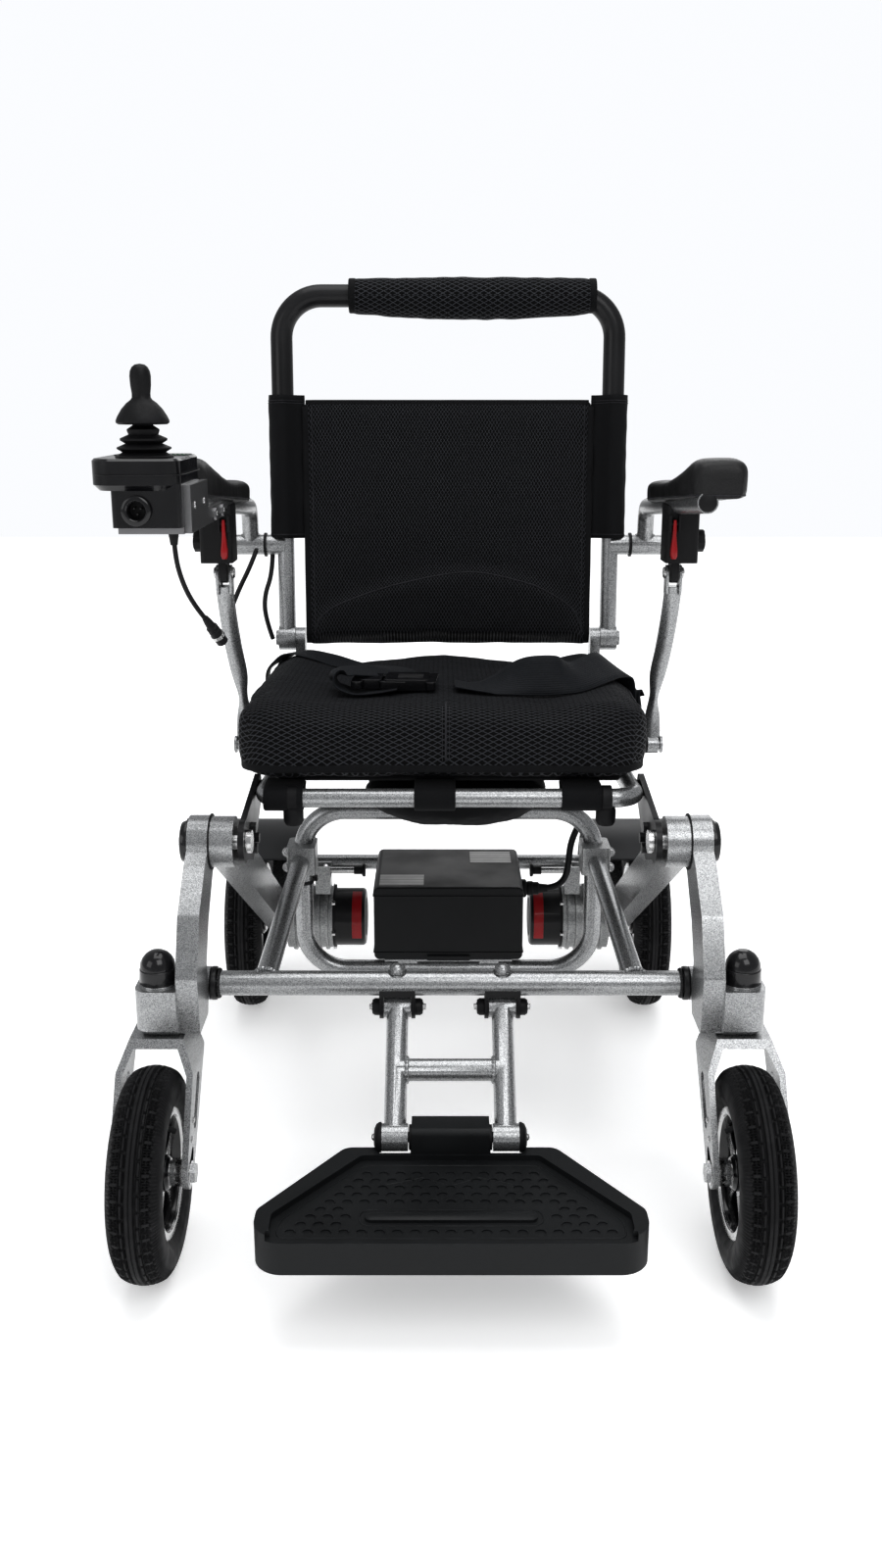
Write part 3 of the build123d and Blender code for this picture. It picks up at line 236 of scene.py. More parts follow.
def air_mesh(name):
    """Black spacer mesh: glossy knitted diamonds over open holes, whose black ground is painted darker still
    as shade.
    """
    finish = Finish(name, (0.006, 0.006, 0.008), Specular_IOR_Level=0.2)
    threads, place = lattice(finish, 11.5, 6.2, 0.05, 0.15)
    twist = finish.noise(1.3, 2, 0.6, place)
    ground = finish.noise(0.9, 3, 0.6, place)
    height = finish.maths("ADD", threads, finish.maths("MULTIPLY", twist, 0.18))
    # The holes: the black lower layer seen through them, painted darker still as the shade inside.
    hole = finish.mix(ground, (0.0008, 0.0008, 0.001), (0.0022, 0.0022, 0.0028))
    yarn = finish.mix(twist, (0.02, 0.021, 0.025), (0.065, 0.069, 0.078))
    normal = finish.bump(height, 0.9, 0.9)
    roughness = finish.ramp(threads, 0, 1, 0.9, 0.55)
    return finish.wear(Base_Color=finish.mix(threads, hole, yarn), Roughness=roughness, Normal=normal)


def woven(name, colour, pitch, depth, rough, ribs=2.0):
    """Plain narrow weave or webbing from UVs in millimetres, ribbed along its length, its raised yarn painted
    paler as highlight.
    """
    finish = Finish(name, colour, Specular_IOR_Level=0.22, Sheen_Weight=0.04, Sheen_Roughness=0.4)
    place = finish.node("ShaderNodeUVMap").outputs["UV"]
    parts = finish.node("ShaderNodeSeparateXYZ", None, {"Vector": place}).outputs
    across = finish.maths("PINGPONG", finish.maths("DIVIDE", parts[0], pitch * ribs), 0.5)
    shift = finish.maths("FLOOR", finish.maths("DIVIDE", parts[0], pitch * ribs))
    row = finish.maths("ADD", finish.maths("DIVIDE", parts[1], pitch), finish.maths("MULTIPLY", shift, 0.5))
    along = finish.maths("PINGPONG", row, 0.5)
    height = finish.maths("MULTIPLY", finish.ramp(across, 0.0, 0.3), finish.ramp(along, 0.0, 0.3, 0.4, 1.0))
    fuzz = finish.noise(0.35, 4, 0.6, place)
    pale = tuple(channel * 2.2 + 0.002 for channel in colour)
    # Painted highlight and shade: the raised yarn is painted paler and the grooves darker.
    tone = finish.maths("MULTIPLY", height, finish.ramp(fuzz, 0.3, 0.75, 0.5, 1.0))
    normal = finish.bump(height, depth, 0.8)
    return finish.wear(Base_Color=finish.mix(tone, colour, pale), Roughness=rough, Normal=normal)


def leather(name, colour):
    """Black PU leather: pebbled grain with fine creases and a soft sheen; the pebble tops are painted paler
    as highlight and the creases darker as shade, in broad patches.
    """
    finish = Finish(name, colour, Specular_IOR_Level=0.4, Coat_Weight=0.08, Coat_Roughness=0.35)
    crease = finish.cells(420, "Distance", "DISTANCE_TO_EDGE")
    pebble = finish.ramp(crease, 0.0, 0.12)
    fold = finish.noise(22, 5, 0.6)
    height = finish.maths("ADD", pebble, finish.maths("MULTIPLY", fold, 0.8))
    pale = tuple(channel * 1.9 + 0.002 for channel in colour)
    # Painted highlight and shade: paler on the pebble tops, darker in the creases between them.
    tone = finish.maths("MULTIPLY", pebble, finish.ramp(fold, 0.4, 0.7, 0.2, 1.0))
    roughness = finish.ramp(fold, 0.3, 0.7, 0.36, 0.5)
    normal = finish.bump(height, 0.14, 0.7)
    return finish.wear(Base_Color=finish.mix(tone, colour, pale), Roughness=roughness, Normal=normal)


def blank_label(name):
    """A plain grey foil label with faint empty ruled fields."""
    finish = Finish(name, (0.2, 0.2, 0.2), Metallic=0.3, Roughness=0.32)
    place = finish.node("ShaderNodeUVMap").outputs["UV"]
    parts = finish.node("ShaderNodeSeparateXYZ", None, {"Vector": place}).outputs
    rows = finish.ramp(finish.maths("PINGPONG", finish.maths("DIVIDE", parts[1], 9.0), 0.5), 0.06, 0.1)
    tone = finish.mix(finish.noise(0.05, 3, 0.5, place), (0.13, 0.13, 0.13), (0.3, 0.3, 0.29))
    return finish.wear(Base_Color=finish.mix(rows, (0.06, 0.06, 0.06), tone))


PAINTS = {
    "silver_frame": flake_paint("silver_frame", (0.24, 0.245, 0.25), (0.46, 0.465, 0.47), 1500, 0.3),
    "cast_alloy": flake_paint("cast_alloy", (0.24, 0.245, 0.25), (0.46, 0.465, 0.465), 1300, 0.42),
    "bright_steel": plain_metal("bright_steel", (0.6, 0.6, 0.6), 0.2, 500),
    "black_paint": moulded("black_paint", (0.007, 0.007, 0.008), 0.36, 600, 0.05, 2.2, 0.15),
    "black_nylon": moulded("black_nylon", (0.005, 0.005, 0.006), 0.5, 900, 0.09),
    "gloss_black": moulded("gloss_black", (0.004, 0.004, 0.005), 0.18, 300, 0.02, 1.5, 0.6),
    "battery_black": moulded("battery_black", (0.0055, 0.006, 0.007), 0.44, 700, 0.08),
    "footplate_black": moulded("footplate_black", (0.008, 0.009, 0.01), 0.48, 500, 0.14, 2.4),
    "guard_grey": moulded("guard_grey", (0.03, 0.031, 0.033), 0.42, 800, 0.06),
    "red_plastic": moulded("red_plastic", (0.3, 0.006, 0.01), 0.34, 500, 0.04, 1.4, 0.3),
    "tyre_rubber": rubber("tyre_rubber", (0.009, 0.009, 0.01), 0.62),
    "soft_rubber": rubber("soft_rubber", (0.005, 0.005, 0.006), 0.52),
    "cable_black": moulded("cable_black", (0.004, 0.004, 0.005), 0.42, 400, 0.05, 1.3),
    "air_mesh": air_mesh("air_mesh"),
    "webbing": woven("webbing", (0.005, 0.006, 0.008), 1.3, 0.25, 0.6),
    "pad_leather": leather("pad_leather", (0.0055, 0.0055, 0.006)),
}
LINING = woven("lining", (0.0028, 0.003, 0.0038), 0.9, 0.12, 0.75, 1.0)
LABEL = blank_label("battery_label")
STITCH = moulded("stitch_thread", (0.022, 0.022, 0.026), 0.55, 900, 0.05)
LAMP = Finish("indicator_lens", (0.02, 0.16, 0.05), Roughness=0.15, Coat_Weight=1.0).material
SATIN = plain_metal("satin_alloy", (0.26, 0.26, 0.265), 0.36, 700)


# ---- Forms: everything is drawn in a bmesh, in millimetres ----
def turns(steps, shift=0.0):
    """The angles of one turn's equal steps."""
    return [2 * math.pi * (step + shift) / steps for step in range(steps)]


def lathe(form, profile, centre, axis, steps=48):
    """Turns (radius, along) points about an axis. A profile that leaves the axis open is a ring."""
    centre, axis = Vector(centre), Vector(axis).normalized()
    side = axis.orthogonal().normalized()
    up = axis.cross(side)
    rings = []
    for radius, along in profile:
        middle = centre + axis * along
        if radius == 0:
            rings.append([form.verts.new(middle)])
            continue
        rings.append([form.verts.new(middle + (side * math.cos(t) + up * math.sin(t)) * radius)
                      for t in turns(steps)])
    if len(rings[0]) > 1:
        rings.append(rings[0])
    for first, second in zip(rings, rings[1:]):
        for step in range(steps):
            after = (step + 1) % steps
            corners = [first[step % len(first)], first[after % len(first)]]
            corners += [second[after % len(second)], second[step % len(second)]]
            unique = list(dict.fromkeys(corners))
            if len(unique) > 2:
                form.faces.new(unique)


def catmull_rom(a, b, c, d, steps):
    """Points from b up to c on the smooth curve through four points."""
    line = []
    for step in range(steps):
        t = step / steps
        line.append(0.5 * (2 * b + (c - a) * t + (2 * a - 5 * b + 4 * c - d) * t**2
                           + (3 * b - a - 3 * c + d) * t**3))
    return line


def smooth_path(points, steps=8):
    """A Catmull-Rom line through points."""
    points = [Vector(p) for p in points]
    ends = [points[0] * 2 - points[1], *points, points[-1] * 2 - points[-2]]
    line = []
    for four in zip(ends, ends[1:], ends[2:], ends[3:]):
        line += catmull_rom(*four, steps)
    return [*line, points[-1]]


def smooth_outline(points, steps):
    """A closed Catmull-Rom outline through points of a plane."""
    count = len(points)
    line = []
    for index in range(count):
        four = [Vector(points[(index + shift) % count]) for shift in (-1, 0, 1, 2)]
        line += [tuple(spot) for spot in catmull_rom(*four, steps)]
    return line


def frames_along(path, closed=False):
    """Direction and two cross axes at each point of a path, without twist."""
    count = len(path)
    frames = []
    side = None
    for index, here in enumerate(path):
        before = path[index - 1] if index or closed else here
        after = path[(index + 1) % count] if index < count - 1 or closed else here
        ahead = (after - before).normalized()
        side = ahead.orthogonal() if side is None else side - ahead * side.dot(ahead)
        side.normalize()
        frames.append((ahead, side, ahead.cross(side)))
    return frames


def bridge(form, first, second):
    """Faces between two rings of vertices."""
    faces = []
    for index in range(len(first)):
        after = (index + 1) % len(first)
        faces.append(form.faces.new((first[index], first[after], second[after], second[index])))
    return faces


def loft(form, rings, closed=False):
    """Skins rings of points, the first and last capped."""
    made = [[form.verts.new(point) for point in ring] for ring in rings]
    pairs = list(zip(made, made[1:]))
    if closed:
        pairs.append((made[-1], made[0]))
    else:
        form.faces.new(made[0][::-1])
        form.faces.new(made[-1])
    for first, second in pairs:
        bridge(form, first, second)


def pipe(form, path, radius, steps=14, closed=False):
    """A round bar along a path; radius may be a list with one for each point."""
    path = [Vector(p) for p in path]
    radii = radius if isinstance(radius, list) else [radius] * len(path)
    rings = []
    for here, size, (_, side, up) in zip(path, radii, frames_along(path, closed)):
        rings.append([here + side * math.cos(t) * size + up * math.sin(t) * size for t in turns(steps)])
    loft(form, rings, closed)


def prism(form, face, axis, low, high):
    """An outline of the two other axes' points, in order, made thick along one axis."""
    def corner(first, second, depth):
        order = {"x": (depth, first, second), "y": (first, depth, second), "z": (first, second, depth)}
        return Vector(order[axis])
    loft(form, [[corner(a, b, depth) for a, b in face] for depth in (low, high)])


def block(form, low, high):
    """A rectangular block; commit() rounds its edges."""
    prism(form, rectangle(low[0], low[1], high[0], high[1]), "z", low[2], high[2])


def rectangle(left, low, right, high):
    """A rectangle's corners."""
    return [(left, low), (right, low), (right, high), (left, high)]


def line_at(outline, z):
    """An outline as a path at one height."""
    return [Vector((x, y, z)) for x, y in outline]


def rounded(points, radius, steps=5):
    """A closed outline with its corners rounded."""
    line = []
    count = len(points)
    for index in range(count):
        before, here, after = (Vector(points[(index + shift) % count]) for shift in (-1, 0, 1))
        reach = min(radius, (before - here).length / 2.1, (after - here).length / 2.1)
        start = here + (before - here).normalized() * reach
        end = here + (after - here).normalized() * reach
        for step in range(steps + 1):
            t = step / steps
            line.append(tuple(start * (1 - t) ** 2 + here * 2 * t * (1 - t) + end * t**2))
    return line


def domed_head(form, centre, axis, radius, height, steps=24):
    """A button or dome head, its flat back on centre."""
    profile = [(0, 0), (radius, 0)]
    profile += [(radius * math.cos(t), height * math.sin(t)) for t in (0.25, 0.55, 0.85, 1.15)]
    lathe(form, [*profile, (0, height)], centre, axis, steps)


def hex_bolt(form, centre, axis, size, height):
    """A hexagon head on a washer."""
    lathe(form, [(0, 0), (size * 1.3, 0), (size * 1.3, height * 0.25), (0, height * 0.25)], centre, axis, 24)
    middle = Vector(centre) + Vector(axis).normalized() * height * 0.2
    lathe(form, [(0, 0), (size, 0), (size, height * 0.7), (size * 0.85, height * 0.85), (0, height * 0.85)],
          middle, axis, 6)


def weld_bead(form, centre, axis, radius, thick, lumps=26):
    """A ring of weld metal round a tube, rippled as it was laid."""
    centre, axis = Vector(centre), Vector(axis).normalized()
    side = axis.orthogonal().normalized()
    up = axis.cross(side)
    count = lumps * 4
    path = []
    sizes = []
    for t in turns(count):
        path.append(centre + (side * math.cos(t) + up * math.sin(t)) * radius)
        sizes.append(thick * (1 + 0.16 * math.cos(lumps * t) + 0.1 * noise.noise((radius + t * 2, 0, 0))))
    pipe(form, path, sizes, 8, closed=True)


def linked(name, data):
    """A new object in the scene."""
    obj = bpy.data.objects.new(name, data)
    bpy.context.scene.collection.objects.link(obj)
    return obj


def to_object(name, form, side="left"):
    """Turns a form into an object in the frame; the right-hand side is mirrored."""
    bmesh.ops.recalc_face_normals(form, faces=form.faces)
    if side == "right":
        form.transform(MIRROR)
        bmesh.ops.reverse_faces(form, faces=form.faces)
    form.transform(TO_FRAME)
    mesh = bpy.data.meshes.new(name)
    form.to_mesh(mesh)
    form.free()
    return linked(name, mesh)


def commit(name, form, slot, body, side="left", edge=0.0, replaces=(), paint=None, sharp=38):
    """Finishes a form: its material, rounded edges, the body it rides on, if any, and what it replaces."""
    obj = to_object(name, form, side)
    dress_mesh(obj, paint or PAINTS[slot], edge, sharp)
    if body:
        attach(obj, body)
    if replaces:
        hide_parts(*replaces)
    return obj


def turned(name, slot, body, parts, **finish):
    """A piece made only of turned parts, each (profile, centre, axis, steps)."""
    form = bmesh.new()
    for part in parts:
        lathe(form, *part)
    return commit(name, form, slot, body, **finish)


def dress_mesh(obj, material, edge, sharp=38):
    """Smooth shading broken at sharp edges, which are rounded by edge millimetres."""
    obj.data.materials.clear()
    obj.data.materials.append(material)
    obj.data.polygons.foreach_set("use_smooth", [True] * len(obj.data.polygons))
    if edge:
        bevel = obj.modifiers.new("edges", "BEVEL")
        bevel.width = edge * MM
        bevel.segments = 2
        bevel.limit_method = "ANGLE"
        bevel.angle_limit = math.radians(sharp)
        bevel.harden_normals = True
    else:
        obj.data.set_sharp_from_angle(angle=math.radians(sharp))


def plain_normals(obj):
    """Drops the normals that came with a mesh."""
    if obj.data.has_custom_normals:
        obj.data.attributes.remove(obj.data.attributes["custom_normal"])


def dress(node, slot, edge=0.5, sharp=38, paint=None):
    """Gives a CAD node its finish; its vertices stay as they are."""
    obj = NODES[node]
    plain_normals(obj)
    weld = obj.modifiers.new("weld", "WELD")
    weld.merge_threshold = 0.002 * MM
    dress_mesh(obj, paint or PAINTS[slot], edge, sharp)


# ---- Wheels ----
def arc_through(first, middle, last, steps):
    """Points on the circle through three points of a plane."""
    (ax, ay), (bx, by), (cx, cy) = first, middle, last
    d = 2 * (ax * (by - cy) + bx * (cy - ay) + cx * (ay - by))
    a2, b2, c2 = ax * ax + ay * ay, bx * bx + by * by, cx * cx + cy * cy
    ux = (a2 * (by - cy) + b2 * (cy - ay) + c2 * (ay - by)) / d
    uy = (a2 * (cx - bx) + b2 * (ax - cx) + c2 * (bx - ax)) / d
    radius = math.hypot(ax - ux, ay - uy)
    angles = [math.atan2(y - uy, x - ux) for x, y in (first, middle, last)]
    for index in (1, 2):
        while angles[index] - angles[index - 1] > math.pi:
            angles[index] -= 2 * math.pi
        while angles[index] - angles[index - 1] < -math.pi:
            angles[index] += 2 * math.pi
    span = angles[2] - angles[0]
    return [(ux + radius * math.cos(angles[0] + span * step / steps),
             uy + radius * math.sin(angles[0] + span * step / steps)) for step in range(steps + 1)]


def ledge(value, low, high, soft=0.35):
    """1 between low and high, falling to 0 over a soft edge outside them."""
    rise = min(1.0, max(0.0, (value - low + soft) / soft))
    fall = min(1.0, max(0.0, (high - value + soft) / soft))
    return min(rise, fall)


def tread_depth(across, turn, blocks, wide):
    """How deep the tread is cut: a centre rib, a broken rib, star blocks and fine shoulder ribs."""
    out = abs(across)
    phase = (turn * blocks + (0.5 if across > 0 else 0.0)) % 1.0
    depth = 3.2 * ledge(out, 4.4 * wide, 6.4 * wide) + 1.0 * ledge(out, 0.0, 0.5)
    depth = max(depth, 2.8 * ledge(out, 9.2 * wide, 10.6 * wide))
    if 6.4 * wide <= out <= 9.2 * wide:
        depth = max(depth, 2.8 * ledge(phase, 0.78, 1.0, 0.03))
    if 10.4 * wide < out < 19 * wide:
        row = (out - 10.4 * wide) / (8.6 * wide)
        zig = abs((phase * 2) % 1.0 - 0.5)
        depth = max(depth, 2.8 * ledge(abs(zig - 0.5 * abs(row - 0.5) - 0.05), 0.0, 0.055, 0.04))
        depth = max(depth, 2.2 * ledge(abs(phase - 0.5), 0.0, 0.035, 0.03))
    if 19 * wide <= out < 31 * wide:
        fade = min(1.0, (31 * wide - out) / 5)
        depth = max(depth, fade * 1.3 * ledge(abs((phase * 4) % 1.0 - 0.5), 0.0, 0.13, 0.1))
    return depth


def tyre(name, body, side, centre, outer_r, seat_r, width, blocks, node):
    """A pneumatic tyre with its moulded tread, side ribs and bead line."""
    half = width / 2
    bead, shoulder_x, shoulder_r, waist_r = half - 6, half * 0.72, outer_r - 5, (outer_r + seat_r) / 2
    side_in = arc_through((-bead, seat_r), (-half, waist_r), (-shoulder_x, shoulder_r), 18)
    crown = arc_through((-shoulder_x, shoulder_r), (0, outer_r), (shoulder_x, shoulder_r), 44)
    side_out = [(-x, r) for x, r in reversed(side_in)]
    line = [Vector(p) for p in [*side_in, *crown[1:-1], *side_out]]
    lengths = [0.0]
    for before, here in zip(line, line[1:]):
        lengths.append(lengths[-1] + (here - before).length)
    steps = blocks * 12
    form = bmesh.new()
    rings = []
    for step in range(steps):
        turn = step / steps
        angle = 2 * math.pi * turn
        ring = []
        for index, (x, r) in enumerate(line):
            ahead = line[min(index + 1, len(line) - 1)] - line[max(index - 1, 0)]
            outward = Vector((-ahead.y, ahead.x)).normalized()
            across = lengths[index] - lengths[-1] / 2
            cut = tread_depth(across, turn, blocks, half / 25)
            cut -= 0.5 * ledge(r, seat_r + 8, seat_r + 9.5, 0.6)
            spot = Vector((x, r)) - outward * cut
            turned_spot = Vector((spot.x, spot.y * math.sin(angle), spot.y * math.cos(angle)))
            ring.append(turned_spot + Vector(centre))
        rings.append(ring)
    loft(form, rings, closed=True)
    lathe(form, [(0, 0), (2.6, 0), (2.6, 10), (0, 10)],
          Vector(centre) + Vector((-bead + 3, 0, seat_r - 13)), (-0.9, 0, -0.45), 12)
    return commit(name, form, "tyre_rubber", body, side, replaces=[node], sharp=50)


def poured(part, turn, target):
    """Puts a form into another one, turned into place."""
    part.transform(turn)
    scrap = bpy.data.meshes.new("scrap")
    part.to_mesh(scrap)
    target.from_mesh(scrap)
    part.free()
    bpy.data.meshes.remove(scrap)


def spoke_face(inner_r, outer_r, inner_w, outer_w):
    """The outline of one spoke, pointing up, flared at both ends."""
    return [(-inner_w, inner_r), (-outer_w * 0.62, (inner_r + outer_r) / 2), (-outer_w, outer_r),
            (outer_w, outer_r), (outer_w * 0.62, (inner_r + outer_r) / 2), (inner_w, inner_r)]


def wheel(prefix, body, side, centre, seat_r, half_w, hub_r, spokes, spoke_w, bore_r, node):
    """The cast rim: a black barrel and spokes with turned bright lips, and the hub."""
    centre = Vector(centre)
    form = bmesh.new()
    wall = seat_r - 8
    lathe(form, [(wall, -half_w + 2), (seat_r - 1, -half_w + 2), (seat_r - 1, half_w - 2), (wall, half_w - 2),
                 (wall - 2.5, half_w - 8), (wall - 3.5, 0), (wall - 2.5, -half_w + 8)], centre, X_AXIS, 96)
    lathe(form, [(bore_r, -half_w + 2), (hub_r - 3, -half_w + 2), (hub_r, -half_w + 5), (hub_r, half_w - 5),
                 (hub_r - 3, half_w - 2), (bore_r, half_w - 2)], centre, X_AXIS, 48)
    shine = bmesh.new()
    for angle in turns(spokes):
        turn = Matrix.Translation(centre) @ Matrix.Rotation(angle, 4, "X")
        for target, grow, deep in ((form, 0.0, half_w * 0.55), (shine, -1.1, half_w * 0.55 + 0.7)):
            part = bmesh.new()
            face = spoke_face(hub_r - 2, wall + 1, spoke_w * 0.85 + grow, spoke_w + grow)
            prism(part, face, "x", -deep, deep)
            poured(part, turn, target)
        for sign in (-1, 1):
            part = bmesh.new()
            face = spoke_face(hub_r + 4, wall - 4, spoke_w * 0.85 - 3.2, spoke_w - 3.4)
            prism(part, face, "x", sign * half_w * 0.5, sign * (half_w * 0.55 + 1.2))
            poured(part, turn, form)
    commit(f"{prefix}_rim_cast_{side}", form, "gloss_black", body, side, edge=0.8, replaces=[node])
    for sign in (-1, 1):
        lathe(shine, [(wall - 0.4, sign * (half_w - 3)), (wall + 1, sign * (half_w - 0.6)),
                      (seat_r - 1.6, sign * half_w), (seat_r + 0.6, sign * (half_w - 1.2)),
                      (seat_r + 0.6, sign * (half_w - 3))], centre, X_AXIS, 96)
        lathe(shine, [(bore_r, sign * (half_w - 2.4)), (hub_r - 5, sign * (half_w - 2.4)),
                      (hub_r - 5, sign * (half_w - 0.9)), (bore_r, sign * (half_w - 0.9))],
              centre, X_AXIS, 48)
    commit(f"{prefix}_rim_turned_{side}", shine, "bright_steel", body, side, edge=0.3)


def drive_hub(side):
    """The driven wheel's hub cap outside, and its collar and shaft on the gearbox side."""
    centre = Vector(REAR_CENTRE)
    form = bmesh.new()
    lathe(form, [(0, 19.2), (13, 19.2), (13, 20.6), (11, 22.5), (0, 23)], centre, X_AXIS, 36)
    for angle in turns(6, 0.5):
        spot = centre + Vector((18, 17.5 * math.sin(angle), 17.5 * math.cos(angle)))
        hex_bolt(form, spot, X_AXIS, 3, 3)
    commit(f"drive_hub_cap_{side}", form, "bright_steel", f"rear_wheel_{side}", side, edge=0.3)
    shaft = [(0, -92), (8, -92), (8, -26.7), (14, -26.7), (14, -16), (0, -16)]
    turned(f"drive_shaft_{side}", "bright_steel", f"rear_wheel_{side}", [(shaft, centre, X_AXIS, 36)],
           side=side, edge=0.3)


def wheels():
    """Front wheels of 200 mm on five spokes and drive wheels of 240 mm on six."""
    for side in SIDES:
        body = f"front_wheel_{side}"
        tyre(f"front_tyre_tread_{side}", body, side, FRONT_CENTRE, 100, 61, 50, 42, f"front_tyre_{side}")
        wheel("front", body, side, FRONT_CENTRE, 61, 20, 17, 5, 11, 6.2, f"front_rim_{side}")
        body = f"rear_wheel_{side}"
        tyre(f"rear_tyre_tread_{side}", body, side, REAR_CENTRE, 120, 74, 48, 48, f"rear_tyre_{side}")
        wheel("rear", body, side, REAR_CENTRE, 74, 20, 24, 6, 11, 8.0, f"rear_rim_{side}")
        drive_hub(side)


# ---- Casters ----
def casters():
    """Forks with their axle nuts and plate screws, and the gloss domes over the stems."""
    for side in SIDES:
        dress(f"caster_fork_{side}", "silver_frame", 1.0)
        body = f"caster_{side}"
        form = bmesh.new()
        for sign in (1, -1):
            face = Vector(FRONT_CENTRE) + X_AXIS * sign * 37
            lathe(form, [(0, 0), (11.5, 0), (11.5, 0.8), (0, 0.8)], face, X_AXIS * sign, 32)
            for y, z in ((13, 128), (24, 142)):
                domed_head(form, (AXLE_X + sign * 37, y, z), X_AXIS * sign, 3.2, 1.6)
            lathe(form, [(0, 19.6), (9.5, 19.6), (12.4, 24), (12.4, 30.9), (0, 30.9)],
                  FRONT_CENTRE, X_AXIS * sign, 40)
        commit(f"front_axle_hardware_{side}", form, "bright_steel", body, side, edge=0.3)
        seal = [(0, 213.1), (17, 213.1), (17, 214.9), (0, 214.9)]
        turned(f"caster_seal_{side}", "soft_rubber", body, [(seal, (AXLE_X, STEM_Y, 0), Z_AXIS, 40)],
               side=side, edge=0.3)
    form = bmesh.new()
    shine = bmesh.new()
    for sign in (1, -1):
        centre = (sign * AXLE_X, STEM_Y, 0)
        dome = [(17 * math.cos(t), 278 + 17 * math.sin(t)) for t in (0, 0.3, 0.6, 0.9, 1.2)]
        lathe(form, [(0, 262.5), (17.6, 262.5), (18.2, 264), (17.4, 276.5), (16.4, 277.2), *dome, (0, 295)],
              centre, Z_AXIS, 56)
        lathe(shine, [(0, 261), (18.5, 261), (18.5, 262.7), (0, 262.7)], centre, Z_AXIS, 56)
    commit("caster_domes", form, "gloss_black", "frame", edge=0.4, replaces=["caster_caps"])
    commit("caster_washers", shine, "bright_steel", "frame", edge=0.2)


# ---- Frame ----
def frame_tubes():
    """Finishes of the welded frame, its weld beads, seal rings, caps and bolts."""
    for node in ("front_legs", "caster_housings", "lower_frame", "battery_hoop", "rear_legs",
                 "seat_frame", "legrest"):
        dress(node, "silver_frame", 0.8)
    dress("push_hoop", "black_paint", 0.5)
    dress("back_tubes", "silver_frame", 0.5)
    dress("hoop_clamps", "cast_alloy", 1.0)
    dress("seat_brackets", "black_paint", 0.6)
    dress("legrest_clevises", "black_paint", 0.8)
    welds = bmesh.new()
    for sign in (1, -1):
        weld_bead(welds, (sign * 186.6, 132, 240), (sign * 11, -292, -34), 12.2, 2.2)
        weld_bead(welds, (sign * 176.4, 409, 271.6), (sign * 11, -292, -34), 11.4, 1.8)
        for x in (-CLEVIS_X, CLEVIS_X):
            weld_bead(welds, (x, CROSSBAR_Y, 249.4), Z_AXIS, 8.4, 1.3, 18)
    commit("frame_welds", welds, "silver_frame", "frame")
    rings = bmesh.new()
    for sign in (1, -1):
        lathe(rings, [(0, 0), (16.5, 0), (17, 1), (17, 5), (15.5, 6.5), (0, 6.5)],
              (sign * 234.5, CROSSBAR_Y, CROSSBAR_Z), X_AXIS * sign, 44)
        weld_bead(rings, (sign * 232.5, CROSSBAR_Y, CROSSBAR_Z), X_AXIS, 13.4, 1.8, 30)
    commit("crossbar_collars", rings, "black_paint", "frame", edge=0.3)
    rung = bmesh.new()
    for sign in (1, -1):
        weld_bead(rung, (sign * 42.6, 74, 168.5), X_AXIS, 11.6, 2.0, 22)
    commit("legrest_welds", rung, "silver_frame", "legrest")
    cap = [(0, 0), (23, 0), (24, 1.2), (24, 3), (21.5, 3), (21.5, 5), (20, 8.5), (15, 10), (0, 10.5)]
    caps = [(cap, (sign * 261.6, PIVOT_Y, PIVOT_Z), X_AXIS * sign, 56) for sign in (1, -1)]
    turned("pivot_caps", "gloss_black", "frame", caps, edge=0.4)
    seal = [(18, 0), (28.6, 0), (28.6, 1.0), (18, 1.0)]
    seals = [(seal, (sign * 240.2, PIVOT_Y, PIVOT_Z), X_AXIS * sign, 56) for sign in (1, -1)]
    turned("pivot_seals", "soft_rubber", "frame", seals)
    dress("pivot_pins", "bright_steel", 0.4)
    bolts = bmesh.new()
    for sign in (1, -1):
        domed_head(bolts, (sign * 272.4, PIVOT_Y, PIVOT_Z), X_AXIS * sign, 7, 2.4)
        for z in (283, 264):
            hex_bolt(bolts, (sign * 193, 402, z), (0, -1, 0.2), 4.5, 5)
    commit("frame_bolts", bolts, "bright_steel", "frame", edge=0.3)


def legrest_bolts():
    """The black knobs and bolts on the legrest's pivots."""
    form = bmesh.new()
    shine = bmesh.new()
    for x in (-CLEVIS_X, CLEVIS_X):
        for sign in (1, -1):
            lathe(form, [(0, 0), (8.6, 0), (8.6, 5), (7, 7.5), (0, 8)],
                  (x + sign * 18, CROSSBAR_Y, CLEVIS_Z), X_AXIS * sign, 24)
            hex_bolt(shine, (x + sign * 25.5, CROSSBAR_Y, CLEVIS_Z), X_AXIS * sign, 3.4, 3.2)
    commit("clevis_knobs", form, "black_nylon", "frame", edge=0.4)
    commit("clevis_nuts", shine, "bright_steel", "frame", edge=0.2)
    form = bmesh.new()
    shine = bmesh.new()
    for sign in (1, -1):
        lathe(form, [(0, 0), (14, 0), (14.5, 1.5), (12.5, 5), (8, 7), (0, 7.5)],
              (sign * 65.8, FOOT_PIVOT_Y, FOOT_PIVOT_Z), X_AXIS * sign, 40)
        domed_head(shine, (sign * 73, FOOT_PIVOT_Y, FOOT_PIVOT_Z), X_AXIS * sign, 3.6, 3)
        lathe(form, [(0, 0), (12, 0), (12, 2.6), (0, 2.6)],
              (sign * 37, FOOT_PIVOT_Y, FOOT_PIVOT_Z), X_AXIS * sign, 40)
    commit("foot_pivot_knobs", form, "black_nylon", "footplate", edge=0.4)
    commit("foot_pivot_nuts", shine, "bright_steel", "footplate", edge=0.2)


